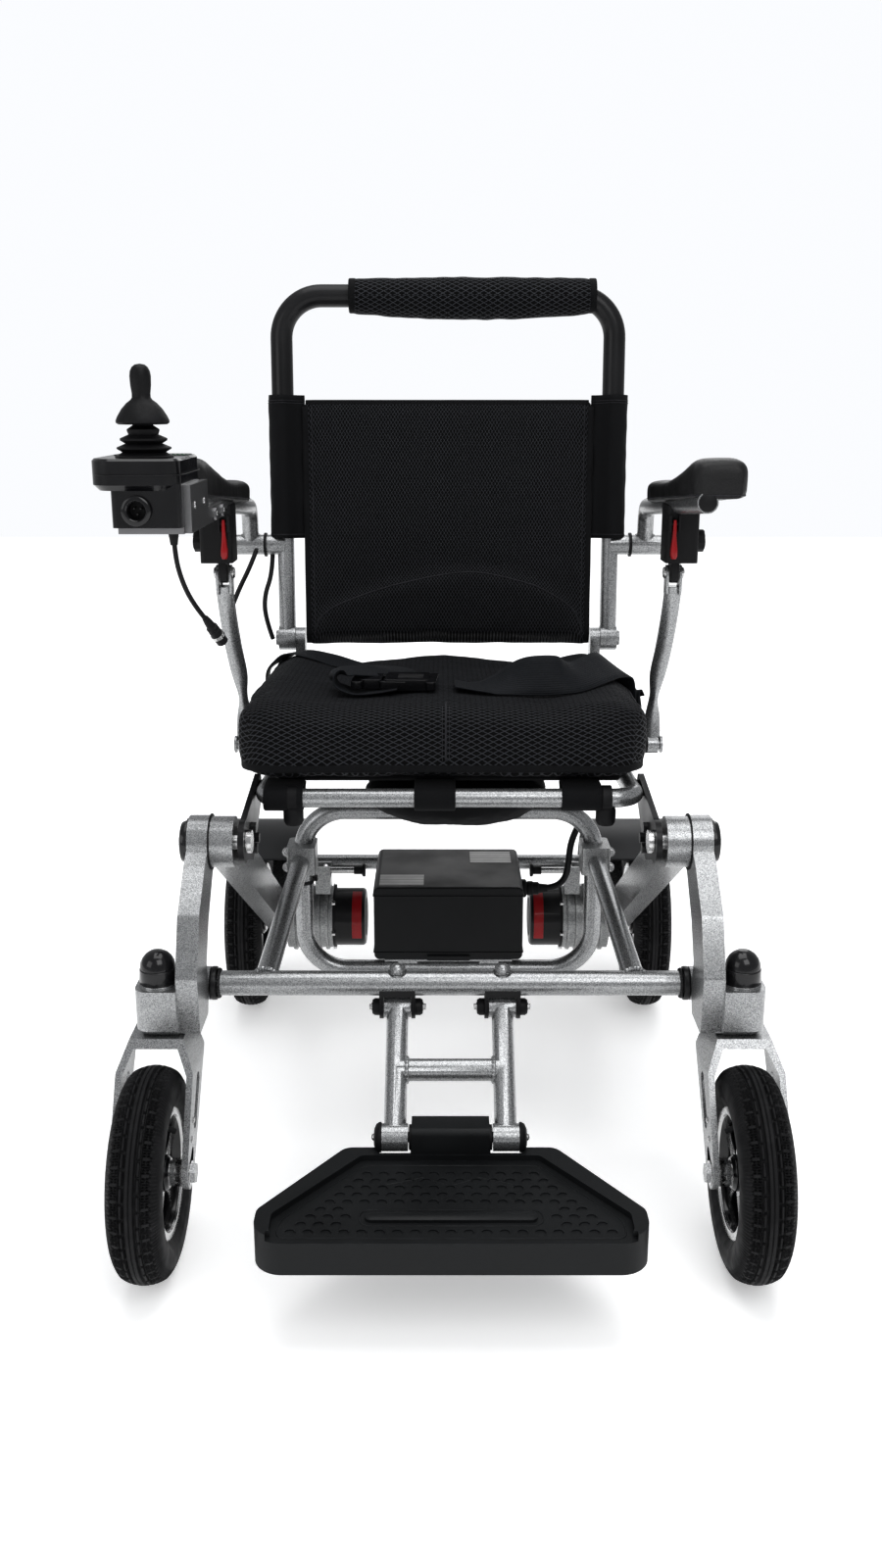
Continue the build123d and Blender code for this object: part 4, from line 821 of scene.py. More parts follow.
def inside_outline(x, y, corners, margin):
    """Whether a point is inside a convex outline drawn anticlockwise, by a margin."""
    for (ax, ay), (bx, by) in zip(corners, [*corners[1:], corners[0]]):
        run = math.hypot(bx - ax, by - ay)
        if ((bx - ax) * (y - ay) - (by - ay) * (x - ax)) / run < margin:
            return False
    return True


def crescent(form, x, y, z, size, turn):
    """One raised crescent of the tread plate."""
    ring_out, ring_in = [], []
    for step in range(9):
        angle = turn + math.pi * (step / 8 - 0.5) * 1.15
        ring_out.append((x + size * math.cos(angle), y + size * 0.8 * math.sin(angle)))
        inner = size * (0.97 - 0.38 * math.cos(math.pi * (step / 8 - 0.5)))
        ring_in.append((x + inner * math.cos(angle), y + inner * 0.8 * math.sin(angle)))
    prism(form, ring_out + ring_in[::-1], "z", z - 0.4, z + 1.1)


def footplate():
    """The standing surface: rows of crescents, the slot-shaped bar and the border line."""
    dress("footplate", "footplate_black", 2.2)
    dress("footplate_hinge", "footplate_black", 1.5)
    field = [(-146, -118), (146, -118), (146, -94), (80, -8), (-80, -8), (-146, -94)]
    form = bmesh.new()
    for row in range(10):
        y = -111 + row * 11.4
        for column in range(-10, 11):
            x = column * 15.5 + (7.75 if row % 2 else 0)
            on_bar = abs(x) < 86 and -108 < y < -74
            by_hinge = abs(x) < 42 and y > -12
            if inside_outline(x, y, field, 2) and not on_bar and not by_hinge:
                crescent(form, x, y, TREAD_TOP, 4.6, math.pi / 2 + (0.25 if row % 2 else -0.25))
    commit("footplate_tread", form, "footplate_black", "footplate", sharp=30)
    bar = bmesh.new()
    base = rounded(rectangle(-76, -97, 76, -83), 6.9)
    crest = rounded(rectangle(-73, -94.4, 73, -85.6), 4.3)
    loft(bar, [line_at(base, TREAD_TOP - 0.5), line_at(base, TREAD_TOP + 2.6), line_at(crest, TREAD_TOP + 4)])
    pipe(bar, line_at(rounded(rectangle(-81, -102, 81, -78), 11), TREAD_TOP), 0.7, 6, closed=True)
    for chevron in ([(-64, -40), (-26, -26), (0, -40)], [(0, -40), (26, -26), (64, -40)]):
        pipe(bar, line_at(chevron, TREAD_TOP), 0.6, 6)
    border = [(x * 1.035, (y + 62) * 1.05 - 62) for x, y in rounded(field, 9)]
    pipe(bar, line_at(border, TREAD_TOP), 0.8, 6, closed=True)
    commit("footplate_bar", bar, "footplate_black", "footplate", sharp=50)


# ---- Battery, motors and gearboxes ----
def flat_label(name, corners, slot, body):
    """A thin printed label as one slab with UVs in millimetres."""
    form = bmesh.new()
    layer = form.loops.layers.uv.new("UVMap")
    low, high = Vector(corners[0]), Vector(corners[1])
    block(form, low, high)
    for face in form.faces:
        for loop in face.loops:
            loop[layer].uv = (loop.vert.co.x, loop.vert.co.y)
    return commit(name, form, slot, body, paint=LABEL, edge=0.15)


def battery():
    """The battery's case details: seams, blank labels and the front latch."""
    dress("battery", "battery_black", 2.5)
    form = bmesh.new()
    for z in (226, 153):
        pipe(form, line_at(rounded(rectangle(-91, 403.4, 91, 551.6), 3), z), 0.8, 6, closed=True)
    block(form, (-26, 400.6, 143.5), (26, 404.5, 149.5))
    commit("battery_trim", form, "battery_black", "frame", edge=0.4)
    flat_label("battery_label_front", ((-84, 412, 236.6), (-30, 450, 237.35)), "battery_black", "frame")
    flat_label("battery_label_rear", ((28, 494, 236.6), (80, 538, 237.35)), "battery_black", "frame")


def motors():
    """Motor cans with their red bands and end covers, gearbox bolts and the lever mounts."""
    dress("motors", "black_paint", 1.0)
    dress("gearboxes", "cast_alloy", 0.6)
    band = bmesh.new()
    shine = bmesh.new()
    cover = bmesh.new()
    for sign in (1, -1):
        centre = (0, REAR_Y, REAR_Z)
        axis = X_AXIS * sign
        face = []
        for radius, angles in ((39.5, range(100, 209, 6)), (38, range(208, 99, -6))):
            for angle in map(math.radians, angles):
                face.append((REAR_Y + radius * math.cos(angle), REAR_Z + radius * math.sin(angle)))
        prism(band, face, "x", sign * 116, sign * 129)
        lathe(cover, [(0, 110.2), (26, 110.2), (26, 111.4), (0, 111.4)], centre, axis, 40)
        lathe(cover, [(38.8, 152.4), (40.6, 152.4), (40.6, 154.8), (38.8, 154.8)], centre, axis, 56)
        for turn in turns(6):
            angle = turn + 0.3
            spot = Vector((sign * 156, REAR_Y + 41 * math.sin(angle), REAR_Z + 41 * math.cos(angle)))
            hex_bolt(shine, spot, -axis, 3.4, 4.5)
    commit("motor_bands", band, "red_plastic", "rear_frame", edge=0.3)
    commit("motor_covers", cover, "black_nylon", "rear_frame", edge=0.3)
    commit("gearbox_bolts", shine, "bright_steel", "rear_frame", edge=0.2)
    for side in SIDES:
        knob = [(0, 0), (8.8, 0), (8.8, 3.4), (5.6, 5), (5.6, 15.4), (0, 15.4)]
        turned(f"lever_knob_{side}", "black_nylon", f"freewheel_lever_{side}",
               [(knob, (111.2, LEVER_Y, LEVER_Z), X_AXIS, 36)], side=side, edge=0.5,
               replaces=[f"freewheel_lever_{side}"])
        form = bmesh.new()
        pipe(form, [(124, LEVER_Y, LEVER_Z), (166, LEVER_Y, LEVER_Z)], 4, 20)
        lathe(form, [(2.6, -7.5), (7, -7.5), (7, 7.5), (2.6, 7.5)], (166, LEVER_Y, LEVER_Z), Y_AXIS, 28)
        commit(f"lever_rod_{side}", form, "bright_steel", f"freewheel_lever_{side}", side, edge=0.3)


def mudguards():
    """Mudguards keep their moulded shell, with rolled rims and screws on the web."""
    dress("mudguards", "guard_grey", 1.4)
    rims = bmesh.new()
    shine = bmesh.new()
    for sign in (1, -1):
        for x in (191.2, 296.8):
            arc = [(sign * x, REAR_Y + GUARD_RIM_R * math.cos(a), REAR_Z + GUARD_RIM_R * math.sin(a))
                   for a in map(math.radians, range(21, 125, 4))]
            pipe(rims, arc, 2.3, 10)
        for y in (604, 620):
            domed_head(shine, (sign * 204.6, y, 172), X_AXIS * -sign, 4, 2)
    commit("mudguard_rims", rims, "guard_grey", "rear_frame")
    commit("mudguard_screws", shine, "bright_steel", "rear_frame", edge=0.2)


# ---- Soft goods ----
SEAT = Matrix.Translation((0, 225, 403)) @ Matrix.Rotation(math.radians(-3), 4, "X")
BACK = Matrix.Translation((0, 666, 496)) @ Matrix.Rotation(math.radians(-4.1), 4, "X")


def seat(x, v, w):
    """A place on the sloping seat: v rearwards from the front bar, w above it."""
    return SEAT @ Vector((x, v, w))


def back(x, depth, height):
    """A place on the backrest: depth rearwards of its uprights, height along them from the hinge."""
    return BACK @ Vector((x, depth, height))


def applied(obj):
    """Replaces an object's mesh by its modifiers' result."""
    depsgraph = bpy.context.evaluated_depsgraph_get()
    mesh = bpy.data.meshes.new_from_object(obj.evaluated_get(depsgraph))
    obj.modifiers.clear()
    old = obj.data
    obj.data = mesh
    bpy.data.meshes.remove(old)


def remeshed(obj, voxel):
    """Rebuilds a closed form as even faces, joining what overlaps."""
    grid = obj.modifiers.new("grid", "REMESH")
    grid.mode = "VOXEL"
    grid.voxel_size = voxel * MM
    applied(obj)


def reshape(obj, place, move):
    """Moves every vertex: move() maps a point in place's own millimetres to a new one."""
    to_local = place.inverted() @ TO_DATUM
    to_mesh = TO_FRAME @ place
    for vertex in obj.data.vertices:
        vertex.co = to_mesh @ move(to_local @ vertex.co)


def puffed(obj, cap, pressure=4.0, frames=20):
    """Fills a cover by cloth pressure, no point moving more than cap millimetres."""
    scene = bpy.context.scene
    rest = [vertex.co.copy() for vertex in obj.data.vertices]
    cloth = obj.modifiers.new("fill", "CLOTH")
    cloth.settings.use_pressure = True
    cloth.settings.uniform_pressure_force = pressure
    cloth.settings.effector_weights.gravity = 0
    cloth.point_cache.frame_end = frames
    scene.frame_set(1)
    for number in range(2, frames + 1):
        scene.frame_set(number)
    swollen = obj.evaluated_get(bpy.context.evaluated_depsgraph_get()).data
    moved = [vertex.co.copy() for vertex in swollen.vertices]
    obj.modifiers.clear()
    scene.frame_set(1)
    for vertex, before, after in zip(obj.data.vertices, rest, moved):
        step = after - before
        limit = cap * MM
        if step.length:
            vertex.co = before + step * (limit * math.tanh(step.length / limit) / step.length)


def smoothed(obj, rounds=6, share=0.5, levels=1):
    """Relaxes a mesh and subdivides it."""
    relax = obj.modifiers.new("relax", "SMOOTH")
    relax.factor = share
    relax.iterations = rounds
    if levels:
        obj.modifiers.new("finer", "SUBSURF").levels = levels
    applied(obj)


def creased(obj, size, depth, seed):
    """Soft unevenness in a cover: long shallow folds along the surface normals."""
    moves = []
    for vertex in obj.data.vertices:
        spot = TO_DATUM @ vertex.co
        fold = noise.fractal(spot / size + Vector((seed, 0, 0)), 1.0, 2.0, 3)
        moves.append(vertex.co + vertex.normal * fold * depth * MM)
    for vertex, moved in zip(obj.data.vertices, moves):
        vertex.co = moved


def cloth_uv(obj, scale=1.0, upright=False):
    """UVs in millimetres, unrolled over the front and top; upright turns the cloth by a right angle."""
    mesh = obj.data
    layer = mesh.uv_layers.new(name="UVMap") if not mesh.uv_layers else mesh.uv_layers[0]
    spots = [TO_DATUM @ vertex.co for vertex in mesh.vertices]
    for face in mesh.polygons:
        sideways = abs(face.normal.x) > 0.72
        for loop in face.loop_indices:
            x, y, z = spots[mesh.loops[loop].vertex_index]
            along, up = (y, z) if sideways else (x, z + y)
            layer.data[loop].uv = (up * scale, along * scale) if upright else (along * scale, up * scale)


def soft(obj, slot, body, replaces=(), paint=None):
    """Finishes a soft piece that is already shaped."""
    obj.data.materials.clear()
    obj.data.materials.append(paint or PAINTS[slot])
    obj.data.polygons.foreach_set("use_smooth", [True] * len(obj.data.polygons))
    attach(obj, body)
    if replaces:
        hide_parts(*replaces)
    return obj


def cast(obj, start, direction):
    """Where a ray meets an object, and its normal there, in datum millimetres."""
    to_mesh = TO_DATUM.to_3x3().inverted()
    hit, spot, normal, _ = obj.ray_cast(TO_FRAME @ Vector(start), (to_mesh @ Vector(direction)).normalized())
    return (TO_DATUM @ spot, normal) if hit else (None, None)


def strip(form, centres, across, width, thick):
    """A band along a line, with rounded selvedges and UVs in millimetres."""
    layer = form.loops.layers.uv.active or form.loops.layers.uv.new("UVMap")
    half, deep = width / 2, thick / 2
    inner = half - deep
    top = [(-half, 0.0), (-inner, deep)] + [(-inner + inner * step / 3, deep * 1.05) for step in range(1, 6)]
    section = top + [(inner, deep), (half, 0.0)] + [(u, -w) for u, w in reversed(top[1:])]
    rings, labels = [], {}
    length = 0.0
    for index, (centre, sideways) in enumerate(zip(centres, across)):
        before = centres[max(index - 1, 0)]
        ahead = (centres[min(index + 1, len(centres) - 1)] - before).normalized()
        sideways = (sideways - ahead * sideways.dot(ahead)).normalized()
        up = ahead.cross(sideways)
        length += (centre - before).length
        ring = []
        for u, w in section:
            vertex = form.verts.new(centre + sideways * u + up * w)
            labels[vertex] = (u, length)
            ring.append(vertex)
        rings.append(ring)
    faces = [form.faces.new(rings[0][::-1]), form.faces.new(rings[-1])]
    for first, second in zip(rings, rings[1:]):
        faces += bridge(form, first, second)
    for face in faces:
        for loop in face.loops:
            loop[layer].uv = labels[loop.vert]


def seam_line(form, cover, points, direction, radius=0.7, sunk=0.2):
    """A raised seam that follows a cover, found by rays from points along a direction."""
    line = []
    for point in points:
        spot, normal = cast(cover, point, direction)
        if spot is not None:
            line.append(spot + normal * (radius - sunk - 0.3))
    if len(line) > 2:
        pipe(form, line, radius, 6)


def seat_cushion():
    """The foam cushion in its air-mesh cover: raised sides, two troughs and a centre ridge."""
    obj = linked("seat_cushion_cover", NODES["seat_cushion"].data.copy())
    plain_normals(obj)
    remeshed(obj, 6)

    def shape(p):
        x, v, w = p.x + 7, p.y, p.z
        half_w, middle_v, half_v = 226, 199, 215
        corner = 46 if v < middle_v else 30
        out_x = abs(x) - (half_w - corner)
        out_v = abs(v - middle_v) - (half_v - corner)
        if out_x > 0 and out_v > 0:
            pull = max(out_x, out_v) / math.hypot(out_x, out_v)
            x = math.copysign(half_w - corner + out_x * pull, x)
            v = middle_v + math.copysign(half_v - corner + out_v * pull, v - middle_v)
        low = 25
        waist = 1 - 0.012 * (1 - min(1.0, max(0.0, (w - low) / 18)))
        x *= 0.984 * waist
        v = middle_v + (v - middle_v) * 0.982 * waist
        dip = 3.0 * math.exp(-((v - 40) / 60) ** 2) * (1 if w > 60 else 0) * abs(math.cos(x / 72))
        return Vector((x - 7, v, low + (w - low) * 0.985 - dip))

    reshape(obj, SEAT, shape)
    smoothed(obj, 10, 0.5, 0)
    puffed(obj, 8)
    smoothed(obj, 3, 0.5, 1)
    creased(obj, 55, 1.3, 3)
    cloth_uv(obj)
    soft(obj, "air_mesh", "seat", ["seat_cushion"])
    return obj


def cushion_trim(cover):
    """The plain band under the cover, its front-centre seam and the stitched top edge."""
    around = []
    for angle in turns(160):
        start = seat(-7 + 420 * math.cos(angle), 199 + 420 * math.sin(angle), 33)
        aim = seat(-7 + 150 * math.cos(angle), 199 + 150 * math.sin(angle), 33) - start
        spot, normal = cast(cover, start, aim)
        if spot is not None:
            around.append(spot + normal * 0.2)
    form = bmesh.new()
    up = SEAT.to_3x3() @ Z_AXIS
    strip(form, [*around, around[0]], [up] * (len(around) + 1), 11, 1.6)
    soft(to_object("cushion_base_band", form), "webbing", "seat", paint=LINING)
    seams = bmesh.new()
    front = [seat(-4, -80, w) for w in range(36, 96, 3)]
    seam_line(seams, cover, front, Y_AXIS, 1.1)
    crest = [seat(-4, v, 160) for v in range(-12, 24, 3)]
    seam_line(seams, cover, crest, (0, 0, -1), 1.1)
    for x in (-7.5, -0.5):
        seam_line(seams, cover, [seat(x, -80, w) for w in range(36, 92, 2)], Y_AXIS, 0.35, 0.0)
    for sign in (-1, 1):
        sides = [seat(-7 + sign * 400, v, 90) for v in range(20, 400, 8)]
        seam_line(seams, cover, sides, (-sign, 0, 0), 0.9)
    soft(to_object("cushion_seams", seams), "webbing", "seat", paint=STITCH)


BELT_WIDE = 46


def belt_line(cover, stations, tail):
    """A belt's centres and cross directions: stations (x, v, lift, tilt, heading), then a hanging tail."""
    down = SEAT.to_3x3() @ Vector(DOWN)
    turn = SEAT.to_3x3()
    centres, across = [], []
    for x, v, lift, tilt, heading in stations:
        spot = cast(cover, seat(x, v, 200), down)[0] or cast(cover, seat(x * 0.94, v, 200), down)[0]
        rise = math.radians(tilt)
        angle = math.radians(heading)
        centres.append(spot - down * (lift + 1.2 + BELT_WIDE / 2 * math.sin(rise)))
        flat = Vector((math.cos(angle), math.sin(angle), 0)) * math.cos(rise)
        across.append((turn @ (flat + Z_AXIS * math.sin(rise))).normalized())
    sideways = Vector((0, math.copysign(1, across[-1].y), 0))
    for x, v, w in tail:
        centres.append(seat(x, v, w))
        across.append(turn @ sideways)
    return smooth_path(centres, 9), smooth_path(across, 9)


def lap_belt(cover):
    """The lap belt lying in waves on the cushion, folded back at its side-release buckle."""
    right_run = [(-56, 96, 5, 0, 90), (-80, 97, 3, 0, 90), (-104, 99, 3, 0, 91), (-121, 102, 8, 4, 93),
                 (-124, 106, 17, 6, 95), (-112, 112, 22, 4, 100), (-92, 122, 19, 6, 112),
                 (-73, 142, 13, 10, 132), (-62, 176, 7, 8, 160), (-64, 222, 4, 6, 184), (-84, 266, 3, 4, 206),
                 (-120, 304, 3, 0, 223), (-160, 338, 3, 0, 230), (-196, 364, 3, 0, 238),
                 (-218, 374, 2, 0, 252)]
    right_tail = [(-233, 378, 80), (-236, 380, 56), (-236, 380, 26), (-224, 381, 8), (-210, 381, 2)]
    left_run = [(6, 98, 5, 0, 90), (30, 98, 3, 3, 90), (48, 97, 2, 16, 91), (66, 92, 1, 38, 93),
                (84, 87, 1, 57, 96), (102, 84, 1, 66, 99), (119, 86, 1, 60, 107), (134, 94, 1, 44, 119),
                (148, 107, 2, 32, 130), (164, 127, 2, 31, 138), (182, 152, 2, 33, 140),
                (197, 172, 3, 22, 134), (208, 184, 3, 6, 112)]
    left_tail = [(219, 190, 84), (223, 190, 58), (223, 190, 26), (216, 190, 8), (209, 190, 2)]
    straps = (("lap_belt_right", right_run, right_tail, -196, 381),
              ("lap_belt_left", left_run, left_tail, 196, 190))
    for name, run, tail, rail_x, rail_v in straps:
        form = bmesh.new()
        strip(form, *belt_line(cover, run, tail), BELT_WIDE, 1.7)
        ring = [seat(rail_x + 11.4 * math.cos(t * math.pi / 16), rail_v, 11.4 * math.sin(t * math.pi / 16))
                for t in range(33)]
        strip(form, ring, [Y_AXIS] * len(ring), BELT_WIDE, 1.6)
        soft(to_object(name, form), "webbing", "seat", ["lap_belt"])
    form = bmesh.new()
    layers = [(-40, 8, 19, 6.2), (-66, -43, 16, 5.2), (-76, -63, 23, 4.4), (6, 17, 23, 4.4)]
    for x_low, x_high, half, deep in layers:
        prism(form, rounded(rectangle(x_low, -half, x_high, half), 5), "z", -deep, deep)
    for sign in (-1, 1):
        arm = rounded([(-46, sign * 11), (-12, sign * 11), (-16, sign * 20.5), (-44, sign * 19)], 3)
        prism(form, arm, "z", -4, 4)
    for y in (-6, 0, 6):
        block(form, (-26, y - 1, 5.8), (2, y + 1, 6.9))
    base = cast(cover, seat(-30, 97, 200), SEAT.to_3x3() @ Vector(DOWN))[0]
    turn = Matrix.Translation(base + Vector((0, 0, 9))) @ SEAT.to_3x3().to_4x4()
    turn @= Matrix.Rotation(math.radians(-5), 4, "Z") @ Matrix.Rotation(math.radians(5), 4, "X")
    form.transform(turn)
    commit("lap_belt_buckle", form, "gloss_black", "seat", edge=0.9)


def seat_sling():
    """The fabric base over the rails, its loops round the front bar and the pouch under it."""
    form = bmesh.new()
    prism(form, rounded(rectangle(-186, 26, 186, 422), 14), "z", 11.5, 20.5)
    form.transform(SEAT)
    obj = to_object("seat_sling_base", form)
    remeshed(obj, 6)
    smoothed(obj, 2, 0.5, 0)
    cloth_uv(obj)
    soft(obj, "webbing", "seat", ["seat_sling"], LINING)
    wrap = bmesh.new()
    for low, high in ((-194, -153), (-37, 6), (117, 159)):
        ring = [(34, 13), (14, 13.2), (2, 12.4), (-8, 9.4), (-12.3, 0), (-8.6, -9), (0, -12.4), (10, -9.6),
                (20, 0), (34, 10.6)]
        centres = smooth_path([seat((low + high) / 2, v, w) for v, w in ring], 5)
        strip(wrap, centres, [X_AXIS] * len(centres), high - low, 2.0)
    soft(to_object("sling_loops", wrap), "webbing", "seat", paint=LINING)
    pouch = bmesh.new()
    rings = []
    for step in range(25):
        t = -1 + step / 12
        full = max(0.02, 1 - abs(t) ** 2.6) ** 0.55
        top = 398 - 2 * t * t
        ring = []
        for y, z in smooth_outline([(256, 0), (330, 2), (398, 0), (392, -34), (334, -53), (270, -32)], 4):
            y = 326 + (y - 326) * (0.8 + 0.2 * full)
            ring.append(Vector((7.5 + 102 * t, y, top + z * full)))
        rings.append(ring)
    loft(pouch, rings)
    obj = to_object("seat_pouch", pouch)
    remeshed(obj, 5)
    puffed(obj, 4)
    smoothed(obj, 4, 0.5, 1)
    creased(obj, 38, 2.0, 9)
    cloth_uv(obj)
    soft(obj, "webbing", "seat", paint=LINING)
    bumpers = bmesh.new()
    for sign in (1, -1):
        lathe(bumpers, [(0, 0), (9.5, 0), (10.5, 3), (10.5, 15), (8.5, 19), (0, 20)], (sign * 164, 226, 393),
              DOWN, 28)
        lathe(bumpers, [(9.5, -5), (13.5, -5), (13.5, 5), (9.5, 5)], (sign * 164, 225, 403), X_AXIS, 28)
    commit("seat_bumpers", bumpers, "soft_rubber", "seat", edge=0.6)


LUMBAR_ARC = [(-180, 10), (-168, 33), (-134, 52), (-60, 75), (28, 89),
              (102, 76), (138, 61), (168, 40), (182, 10)]
SLEEVE_LOW, SLEEVE_HIGH = 132, 314


def sleeve_outline(sign, grow, height):
    """A sleeve's section: round the upright's outside, drawn in to a thin web at the panel."""
    line = [(186, 3.2), (194, 4.6), (200, 8.5), (206, 14)]
    line += [(215 + 17.6 * math.cos(a), 17.6 * math.sin(a)) for a in map(math.radians, range(110, -1, -11))]
    line += [(x, -depth) for x, depth in reversed(line)]
    points = []
    for x, depth in line:
        ripple = 0.7 * noise.noise(Vector((x / 9 + sign * 5, depth / 9, height / 18)))
        reach = 1 + (grow + ripple) / 17
        points.append(back(sign * (212 + (x - 212) * (reach if x > 212 else 1)), depth * reach, height))
    return points


def back_panel():
    """The upholstered back: a filled panel with a lumbar pad, and a sleeve on each upright."""
    form = bmesh.new()
    prism(form, rounded(rectangle(-192, -13, 192, 312), 9), "y", -6, 5)
    arc = [(p.x, p.y) for p in smooth_path([Vector((x, height, 0)) for x, height in LUMBAR_ARC], 4)]
    prism(form, [*arc, (176, 2), (-174, 2)], "y", -17, -3)
    form.transform(BACK)
    cover = to_object("back_panel_cover", form)
    remeshed(cover, 5)
    smoothed(cover, 6, 0.5, 0)
    puffed(cover, 5)
    smoothed(cover, 3, 0.5, 1)
    creased(cover, 60, 1.2, 5)
    cloth_uv(cover, 1.45, True)
    soft(cover, "air_mesh", "backrest", ["back_panel"])
    sleeves = bmesh.new()
    hems = bmesh.new()
    for sign in (1, -1):
        heights = [SLEEVE_LOW + (SLEEVE_HIGH - SLEEVE_LOW) * step / 44 for step in range(45)]
        rings = [sleeve_outline(sign, 0.0, height) for height in heights]
        count = len(rings[0])
        bore = [[back(sign * (214 - 14.2 * math.cos(t)), 14.2 * math.sin(t), height)
                 for t in turns(count, 0.5)] for height in (SLEEVE_HIGH, SLEEVE_LOW)]
        loft(sleeves, [*rings, *bore], closed=True)
        for height in (SLEEVE_LOW + 5, SLEEVE_HIGH - 7, SLEEVE_HIGH - 10):
            pipe(hems, sleeve_outline(sign, 0.25, height), 0.45, 6, closed=True)
    obj = to_object("back_sleeves", sleeves)
    cloth_uv(obj)
    soft(obj, "webbing", "backrest", paint=LINING)
    soft(to_object("sleeve_hems", hems), "webbing", "backrest", paint=STITCH)
    trim = bmesh.new()
    inward, up = BACK.to_3x3() @ Y_AXIS, BACK.to_3x3() @ Z_AXIS
    bindings = [([(x, 304) for x in range(-184, 185, 6)], up, 8)]
    bindings += [([(sign * 183, height) for height in range(-6, 305, 6)], X_AXIS, 11) for sign in (1, -1)]
    for places, across, width in bindings:
        hits = [cast(cover, back(x, -60, height), inward) for x, height in places]
        points = [spot + normal * 0.3 for spot, normal in hits if spot is not None]
        strip(trim, points, [across] * len(points), width, 1.6)
    soft(to_object("back_binding", trim), "webbing", "backrest", paint=LINING)
    seams = bmesh.new()
    for sign in (1, -1):
        starts = [back(sign * 176.5, -60, height) for height in range(-4, 302, 5)]
        seam_line(seams, cover, starts, inward, 0.5)
    seam_line(seams, cover, [back(p.x, -60, p.y - 1) for p in smooth_path(
        [Vector((x * 0.98, height, 0)) for x, height in LUMBAR_ARC], 7)], inward, 0.9)
    soft(to_object("back_seams", seams), "webbing", "backrest", paint=STITCH)


def handle_wrap():
    """The padded mesh grip round the top of the push hoop, gathered at its ends."""
    y, z = 666 + (932 - 496) * math.tan(math.radians(4.1)), 932
    form = bmesh.new()
    rings = []
    for step in range(81):
        t = step / 80
        x = -125 + 312 * t
        end = min(t, 1 - t) * 312
        full = 0.84 + 0.16 * min(1.0, end / 10) ** 0.5
        ring = []
        for angle in turns(40):
            across, up = math.cos(angle), math.sin(angle)
            fold = 1.1 * noise.noise(Vector((x / 20, across * 1.6, up * 1.6)))
            size = (21.5 + 1.6 * math.sin(math.pi * t)) * full + fold
            low = 5.4 * math.sin(math.pi * t) if up < 0 else 0.0
            ring.append(Vector((x, y + across * size, z + up * (size + low) - 0.5)))
        rings.append(ring)
    inner = [[Vector((x, y + 14.4 * math.cos(t), z + 14.4 * math.sin(t))) for t in turns(40)]
             for x in (187, -125)]
    loft(form, [*rings, *inner], closed=True)
    obj = to_object("handle_wrap_cover", form)
    layer = obj.data.uv_layers.new(name="UVMap")
    for face in obj.data.polygons:
        middle = TO_DATUM @ face.center
        half_turn = math.atan2(middle.z - z, middle.y - y)
        for loop in face.loop_indices:
            spot = TO_DATUM @ obj.data.vertices[obj.data.loops[loop].vertex_index].co
            angle = math.atan2(spot.z - z, spot.y - y)
            angle += 2 * math.pi * round((half_turn - angle) / (2 * math.pi))
            layer.data[loop].uv = (spot.x, angle * 23)
    soft(obj, "air_mesh", "backrest", ["handle_wrap"])
    band = [(14.3, -4.5), (20.6, -4.5), (21.4, -3), (21.4, 3), (20.6, 4.5), (14.3, 4.5)]
    bands = [(band, (x, y, z), X_AXIS, 40) for x in (-122, 184)]
    turned("handle_wrap_trim", "webbing", "backrest", bands, paint=LINING)


def arm_pads():
    """Moulded leather pads, raised at the front, with a seam round the side."""
    crest = [(211, 729), (213, 740.5), (219, 746.4), (232, 748.6), (252, 748), (282, 741.5), (320, 733),
             (358, 725.5), (396, 719.5), (440, 715.5), (500, 712), (532, 709.5), (544, 704), (549.5, 694)]
    for side in SIDES:
        form = bmesh.new()
        rings = []
        for _, y, top in smooth_path([Vector((0, y, z)) for y, z in crest], 5):
            ends = min((y - 210.5) / 16, (550 - y) / 22, 1.0)
            half = 26.4 * (1 - (1 - max(0.0, ends)) ** 2.4 * 0.3)
            low = 711.5 - 0.0855 * (y - 211)
            mid, tall = (top + low) / 2, (top - low) / 2
            ring = []
            for angle in turns(36):
                c, s = math.cos(angle), math.sin(angle)
                power = 0.42 if s > 0 else 0.3
                x = 266 + half * math.copysign(abs(c) ** power, c)
                z = mid + tall * math.copysign(abs(s) ** (0.62 if s > 0 else 0.4), s)
                crown = 1.2 * (1 - ((x - 266) / 26) ** 2) if s > 0.4 else 0
                ring.append(Vector((x, y, z + crown)))
            rings.append(ring)
        loft(form, rings)
        obj = to_object(f"arm_pad_cover_{side}", form, side)
        obj.modifiers.new("finer", "SUBSURF").levels = 1
        applied(obj)
        creased(obj, 26, 0.45, 2)
        soft(obj, "pad_leather", f"arm_{side}", [f"arm_pad_{side}"])
        seams = bmesh.new()
        for sign in (1, -1):
            starts = [(SIDES[side] * (266 + sign * 60), y, 715 - 0.08 * (y - 211))
                      for y in range(216, 546, 6)]
            seam_line(seams, obj, starts, (-sign * SIDES[side], 0, 0), 0.7)
        starts = [(SIDES[side] * (242 + 3 * s), 150, 715) for s in range(17)]
        seam_line(seams, obj, starts, Y_AXIS, 0.7)
        soft(to_object(f"arm_pad_seam_{side}", seams), "pad_leather", f"arm_{side}", paint=STITCH)


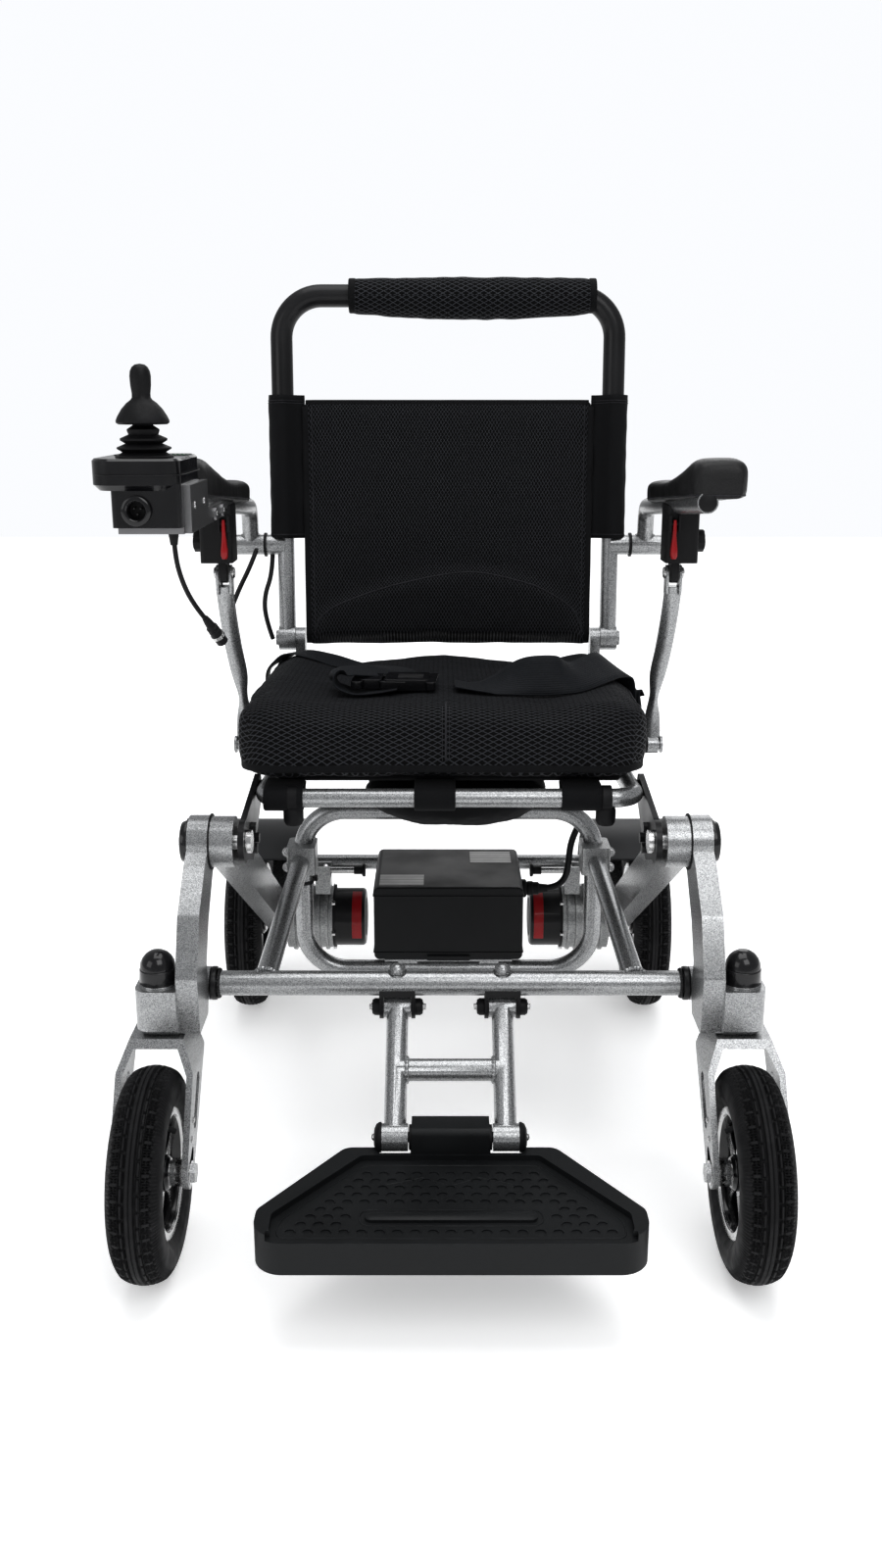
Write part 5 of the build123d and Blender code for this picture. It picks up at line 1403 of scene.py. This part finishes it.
# ---- Armrests, struts and latches ----
def armrests():
    """Tubes with their front caps and tees, latch blocks with levers, and the struts."""
    for side in SIDES:
        body = f"arm_{side}"
        dress(f"arm_tube_{side}", "silver_frame", 0.6)
        dress(f"latch_block_{side}", "black_nylon", 1.2)
        lever = bmesh.new()
        paddle = [(677, 1.6, 373.6), (673, 2.2, 372.8), (660, 2.2, 372.6), (652, 2.9, 371.4),
                  (644, 3.7, 370.2), (638, 3.7, 370.2), (634.6, 2.6, 371.6)]
        loft(lever, [line_at(rounded(rectangle(PADDLE_X - half, front, PADDLE_X + half, 379.2), 2.2), z)
                     for z, half, front in paddle])
        commit(f"latch_paddle_{side}", lever, "red_plastic", f"latch_lever_{side}", side, sharp=60,
               replaces=[f"latch_lever_{side}"])
        ahead = (Vector(ARM_TUBE_FRONT) - Vector(ARM_TUBE_REAR)).normalized()
        cap = [(0, -2), (9.1, -2), (9.1, 0.5), (8, 1.3), (0, 1.5)]
        turned(f"arm_tube_cap_{side}", "black_nylon", body, [(cap, ARM_TUBE_FRONT, ahead, 32)],
               side=side, edge=0.4)
        rings = [([(13.2, -1.6), (15.6, -1.6), (15.6, 1.6), (13.2, 1.6)], (240.4, TEE_Y, TEE_Z), X_AXIS, 40),
                 ([(0, 0), (12.4, 0), (12.8, 1.4), (10.4, 3.6), (0, 4)], (283.2, TEE_Y, TEE_Z), X_AXIS, 40)]
        turned(f"arm_tee_rings_{side}", "soft_rubber", body, rings, side=side, edge=0.3)
        nut = bmesh.new()
        domed_head(nut, (287, TEE_Y, TEE_Z), X_AXIS, 6, 2.2)
        weld_bead(nut, (260, TEE_Y, TEE_Z + 12.5), Z_AXIS, 11.2, 1.6, 20)
        commit(f"arm_tee_bolt_{side}", nut, "silver_frame", body, side, edge=0.2)
        knob = bmesh.new()
        grip = []
        for step, angle in enumerate(turns(40)):
            radius = 12.4 if step % 4 < 2 else 11.6
            grip.append((LATCH_Y + radius * math.cos(angle), LATCH_Z + radius * math.sin(angle)))
        prism(knob, grip, "x", 277.2, 285.6)
        commit(f"latch_knob_{side}", knob, "black_nylon", body, side, edge=0.5)
        screw = bmesh.new()
        hex_bolt(screw, (258, LATCH_Y, 629.4), DOWN, 4, 4)
        domed_head(screw, (285.4, LATCH_Y, LATCH_Z), X_AXIS, 4, 1.6)
        for y in (388, 416):
            domed_head(screw, (276.8, y, 683), X_AXIS, 3, 1.4)
        commit(f"latch_screws_{side}", screw, "bright_steel", body, side, edge=0.2)
        tongue = bmesh.new()
        prism(tongue, rounded([(396, 634), (396, 612), (402, 604), (416, 604), (422, 612), (422, 634)], 5),
              "x", 250.6, 259.4)
        commit(f"latch_tongue_{side}", tongue, "black_nylon", body, side, edge=0.6)
        strut(side)


def strut(side):
    """The oval strut, pinched above the seat, with its forked top and its eye on the seat's pin."""
    form = bmesh.new()
    path = smooth_path([(245, 451, 410), (245.2, 455, 432), (245.6, 456, 456), (247, 446, 486),
                        (250, 428, 522), (253, 418, 556), (255, 412, 586), (255.4, 410.5, 600)], 6)
    rings = []
    for here, (ahead, _, _) in zip(path, frames_along(path)):
        pinch = math.exp(-((here.z - 462) / 20) ** 2)
        wide, deep = 9.8 - 4.6 * pinch, 7.4 + 3.0 * pinch
        sideways = (X_AXIS - ahead * ahead.x).normalized()
        upward = ahead.cross(sideways)
        rings.append([here + sideways * wide * math.cos(t) + upward * deep * math.sin(t) for t in turns(28)])
    loft(form, rings)
    for low, high in ((246, 249.2), (260.8, 264)):
        prism(form, rounded([(402, 590), (418, 590), (419.6, 616), (414, 624), (406, 624), (400.6, 616)], 5),
              "x", low, high)
    lathe(form, [(6.2, -6.5), (10.6, -6.5), (10.6, 6.6), (6.2, 6.6)],
          (245.3, STRUT_FOOT_Y, STRUT_FOOT_Z), X_AXIS, 36)
    body = f"strut_{side}"
    commit(f"strut_tube_{side}", form, "silver_frame", body, side, edge=0.5, replaces=[f"strut_{side}"])
    head = [(0, 0), (6.6, 0), (6.6, 1.6), (5, 3), (0, 3)]
    heads = [(head, (x, STRUT_HEAD_Y, STRUT_HEAD_Z), axis, 24) for x, axis in ((264, X_AXIS), (246, -X_AXIS))]
    turned(f"strut_top_rivet_{side}", "bright_steel", body, heads, side=side, edge=0.2)
    seal = [(6.3, 0), (10.9, 0), (10.9, 1.3), (6.3, 1.3)]
    turned(f"strut_seal_{side}", "soft_rubber", body,
           [(seal, (237.2, STRUT_FOOT_Y, STRUT_FOOT_Z), X_AXIS, 32)], side=side)


# ---- Controller ----
def controller():
    """The hand controller: case trim, fascia, battery lamps, charging port, screws and joystick."""
    dress("controller_case", "gloss_black", 1.0)
    dress("controller_bracket", "bright_steel", 0.8, paint=SATIN)
    dress("charge_socket", "black_nylon", 0.4)
    dress("power_button", "gloss_black", 0.5)
    dress("speed_rocker", "black_nylon", 0.6)
    dress("joystick_gimbal", "bright_steel", 0.3)
    form = bmesh.new()
    pipe(form, line_at(rounded(rectangle(-320.2, 87, -239.8, 209), 24), 741), 0.55, 6, closed=True)
    pipe(form, line_at(rounded(rectangle(-316, 166, -248, 201), 6), 755), 0.6, 6, closed=True)
    lathe(form, [(23, 754.6), (26.4, 754.6), (26.4, 756), (25.4, 756.8), (23, 756.8)], STICK, Z_AXIS, 56)
    commit("controller_trim", form, "black_nylon", "arm_right", sharp=50)
    lamps = bmesh.new()
    for number in range(5):
        block(lamps, (-267.5 + number * 4.2, 182, 754.6), (-265 + number * 4.2, 190, 755.5))
    commit("controller_lamps", lamps, "gloss_black", "arm_right", paint=LAMP, edge=0.2)
    port = bmesh.new()
    port_x, port_z = -281.5, 709.5
    lathe(port, [(8.2, -1.4), (13.4, -1.4), (13.4, 1.2), (12, 2.2), (9.4, 2.2), (8.2, 1)],
          (port_x, 92.4, port_z), -Y_AXIS, 44)
    for turn in turns(3):
        angle = turn + 0.5
        pin = Vector((port_x + 3.6 * math.cos(angle), 105, port_z + 3.6 * math.sin(angle)))
        lathe(port, [(0, 0), (1.1, 0), (1.1, 7), (0, 7.6)], pin, -Y_AXIS, 12)
    commit("charge_port_ring", port, "gloss_black", "arm_right", edge=0.2)
    screws = bmesh.new()
    for y in (130, 180):
        domed_head(screws, (-235.4, y, 712), X_AXIS, 3.6, 1.6)
    for y in (235, 280):
        domed_head(screws, (-232.4, y, 695.5), X_AXIS, 3, 1.2)
    commit("bracket_screws", screws, "bright_steel", "arm_right", edge=0.2)
    joystick()


def joystick():
    """The stick with its mushroom skirt, and the bellows."""
    boot = [(12, 755.4), (22.4, 755.4), (22.8, 757.4), (19.6, 759.4), (24.6, 762.4), (24.6, 763.6),
            (16.6, 767), (21.2, 769.8), (21.2, 770.6), (13.4, 770.6), (12.6, 767)]
    boot = turned("joystick_bellows", "soft_rubber", None, [(boot, STICK, Z_AXIS, 64)],
                  replaces=["joystick_boot"])
    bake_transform(boot)
    neck = [(13.4, 770.6), (21.2, 770.6), (21.2, 771.6), (13.4, 775), (14.6, 778.2), (14.6, 779.6),
            (9.4, 783), (8.4, 786), (5.2, 786), (6.6, 783), (9, 779), (11.2, 775)]
    neck = turned("joystick_bellows_neck", "soft_rubber", None, [(neck, STICK, Z_AXIS, 64)])
    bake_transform(neck)
    shaft = [(0, 741), (4.4, 741), (5.4, 744), (4.4, 748), (3.4, 750), (3.4, 784), (0, 784)]
    turned("joystick_shaft", "bright_steel", "joystick", [(shaft, STICK, Z_AXIS, 40)], edge=0.2)
    knob = [(0, 784), (22, 784), (24, 785.4), (24, 787.4), (22.4, 791), (18.4, 797.4), (13.6, 802.6),
            (9.8, 805.4), (8.4, 807.4), (8.3, 811), (9.2, 818), (9.5, 826), (8.9, 830.4), (7.2, 833.8),
            (4.4, 836), (0, 836.8)]
    turned("joystick_knob", "soft_rubber", "joystick", [(knob, STICK, Z_AXIS, 56)], edge=0.3, sharp=45,
           replaces=["joystick"])


# ---- Leads ----
def lead_curve(name, points, thick, body, node):
    """A lead on one smooth line through its route's control points."""
    curve = bpy.data.curves.new(name, "CURVE")
    curve.dimensions = "3D"
    curve.bevel_depth = thick / 2 * MM
    curve.bevel_resolution = 5
    curve.resolution_u = 16
    curve.use_fill_caps = True
    spline = curve.splines.new("NURBS")
    spline.points.add(len(points) - 1)
    for place, point in zip(spline.points, points):
        place.co = (*at(*point), 1)
    spline.order_u = 3
    spline.use_endpoint_u = True
    curve.materials.append(PAINTS["cable_black"])
    obj = linked(name, curve)
    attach(obj, body)
    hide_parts(node)
    return obj


def leads():
    """The controller's hanging lead, the taped harness and the battery's clipped lead."""
    route = [(-262, 160, 688), (-262, 160, 664), (-258, 168, 637), (-250, 184, 611), (-240, 201, 592)]
    cable = lead_curve("controller_lead", route, 4.8, "arm_right", "controller_cable")
    start, end = Vector(route[-1]), Vector((-229.5, 218.8, 569.3))
    plug = [(0, -7), (3.1, -7), (4.2, 0), (4.6, 6), (5.9, 7.4), (5.9, 9.4), (5.4, 10), (5.4, 11.4), (6, 12),
            (6, 30.4), (4.4, 30.4), (4.4, 25), (0, 25)]
    connector = turned("controller_plug", "black_nylon", "arm_right", [(plug, start, end - start, 36)],
                       edge=0.2, replaces=["cable_connector"])
    step = (end - start).normalized()
    collar = [(5.8, -2), (6.9, -2), (6.9, 2), (5.8, 2)]
    ring = turned("controller_plug_ring", "bright_steel", "arm_right",
                  [(collar, start + step * 20, step, 36)], edge=0.2)
    relief = [(0, 0), (5.4, 0), (5.2, 3), (3.4, 16), (0, 16)]
    turned("controller_lead_relief", "soft_rubber", "arm_right", [(relief, (-262, 160, 688.4), DOWN, 24)],
           edge=0.3)
    route = [(-232, 674, 606), (-233, 670, 581), (-242, 651, 554), (-240, 641, 526), (-232, 648, 498)]
    upright = lead_curve("harness_upright_lead", route, 6, "backrest", "harness_lead")
    route = [(-252, 660.4, 612), (-258, 644, 594), (-268, 606, 570), (-271, 556, 553), (-271, 508, 553),
             (-270, 470, 570), (-267, 450, 603), (-261, 441, 632), (-256, 424, 648)]
    branch = lead_curve("harness_arm_lead", route, 6, "arm_right", "harness_branch")
    battery_lead()


def battery_lead():
    """The battery's lead, clipped to the hoop, with its screwed plug."""
    route = [(112, 470, 212), (132, 470, 212), (146, 464, 226), (149, 455, 250), (150, 451, 276),
             (157, 446, 299), (160.8, 431.2, 314.8)]
    lead_curve("battery_side_lead", route, 8, "frame", "battery_lead")
    plug = [(0, 0), (11, 0), (11.4, 1.5), (11.4, 6), (10, 7.4), (8.4, 7.8), (8.4, 9), (9, 9.6), (9, 15),
            (8, 16), (8, 22), (6, 24), (5, 34), (0, 34)]
    turned("battery_plug", "black_nylon", "frame", [(plug, (90.5, 470, 212), X_AXIS, 40)], edge=0.3)
    ties = bmesh.new()
    for sign, z in ((1, 286), (-1, 240)):
        lathe(ties, [(11.2, -2), (12.6, -2), (12.6, 2), (11.2, 2)],
              (sign * HOOP_TUBE_X, HOOP_TUBE_Y, z), Z_AXIS, 32)
        block(ties, (sign * 163 - 3, 427, z - 3), (sign * 163 + 3, 434, z + 3))
    commit("hoop_cable_ties", ties, "black_nylon", "frame", edge=0.3)


# ---- Camera, light and floor ----
def studio():
    """A pale floor, soft light and the camera."""
    scene = bpy.context.scene
    floor = bmesh.new()
    block(floor, (-6000, -5000, -20), (6000, 7000, 0))
    obj = to_object("floor", floor)
    paper = Finish("floor_paper", (0.93, 0.93, 0.93), Roughness=0.9, Specular_IOR_Level=0.1)
    grain = paper.noise(3, 3)
    away = paper.node("ShaderNodeVectorMath", {"operation": "LENGTH"}, {0: paper.place}).outputs["Value"]
    paper.wear(Emission_Color=(1, 1, 1, 1), Emission_Strength=paper.ramp(away, 1.2, 4, 0.42, 0.75))
    obj.data.materials.append(paper.wear(Base_Color=paper.mix(grain, (0.92, 0.92, 0.92), (0.95, 0.95, 0.95))))
    world = bpy.data.worlds.new("studio")
    world.use_nodes = True
    sky = world.node_tree.nodes["Background"]
    sky.inputs["Color"].default_value = (0.97, 0.98, 1, 1)
    seen = world.node_tree.nodes.new("ShaderNodeLightPath").outputs["Is Camera Ray"]
    level = world.node_tree.nodes.new("ShaderNodeMapRange")
    level.inputs["To Min"].default_value = 0.5
    level.inputs["To Max"].default_value = 1.0
    world.node_tree.links.new(seen, level.inputs["Value"])
    world.node_tree.links.new(level.outputs["Result"], sky.inputs["Strength"])
    scene.world = world
    lights = [("key", (900, -1900, 2600), (0, 200, 400), 1800, 30),
              ("fill", (-2200, -1500, 1500), (0, 200, 400), 1600, 12),
              ("top", (0, 400, 3000), (0, 300, 0), 2200, 36),
              ("rear", (600, 3000, 1800), (0, 300, 500), 1800, 14)]
    for name, place, target, size, power in lights:
        lamp = bpy.data.lights.new(name, "AREA")
        lamp.size = size * MM
        lamp.energy = power
        obj = linked(name, lamp)
        obj.location = at(*place)
        aim = (at(*target) - obj.location).to_track_quat("-Z", "Y")
        obj.rotation_euler = aim.to_euler()
    camera = bpy.data.cameras.new("camera")
    camera.lens = 31.28
    camera.sensor_width = 36
    camera.shift_y = -0.0093
    eye = linked("camera", camera)
    eye.location = at(-9, -1142, 809)
    eye.rotation_euler = (math.radians(90 - 15.34), 0, 0)
    scene.camera = eye
    scene.view_settings.view_transform = "Standard"
    scene.view_settings.gamma = 0.82


studio()
leads()
wheels()
casters()
frame_tubes()
legrest_bolts()
footplate()
battery()
motors()
mudguards()
armrests()
controller()
cushion = seat_cushion()
cushion_trim(cushion)
lap_belt(cushion)
seat_sling()
back_panel()
handle_wrap()
arm_pads()
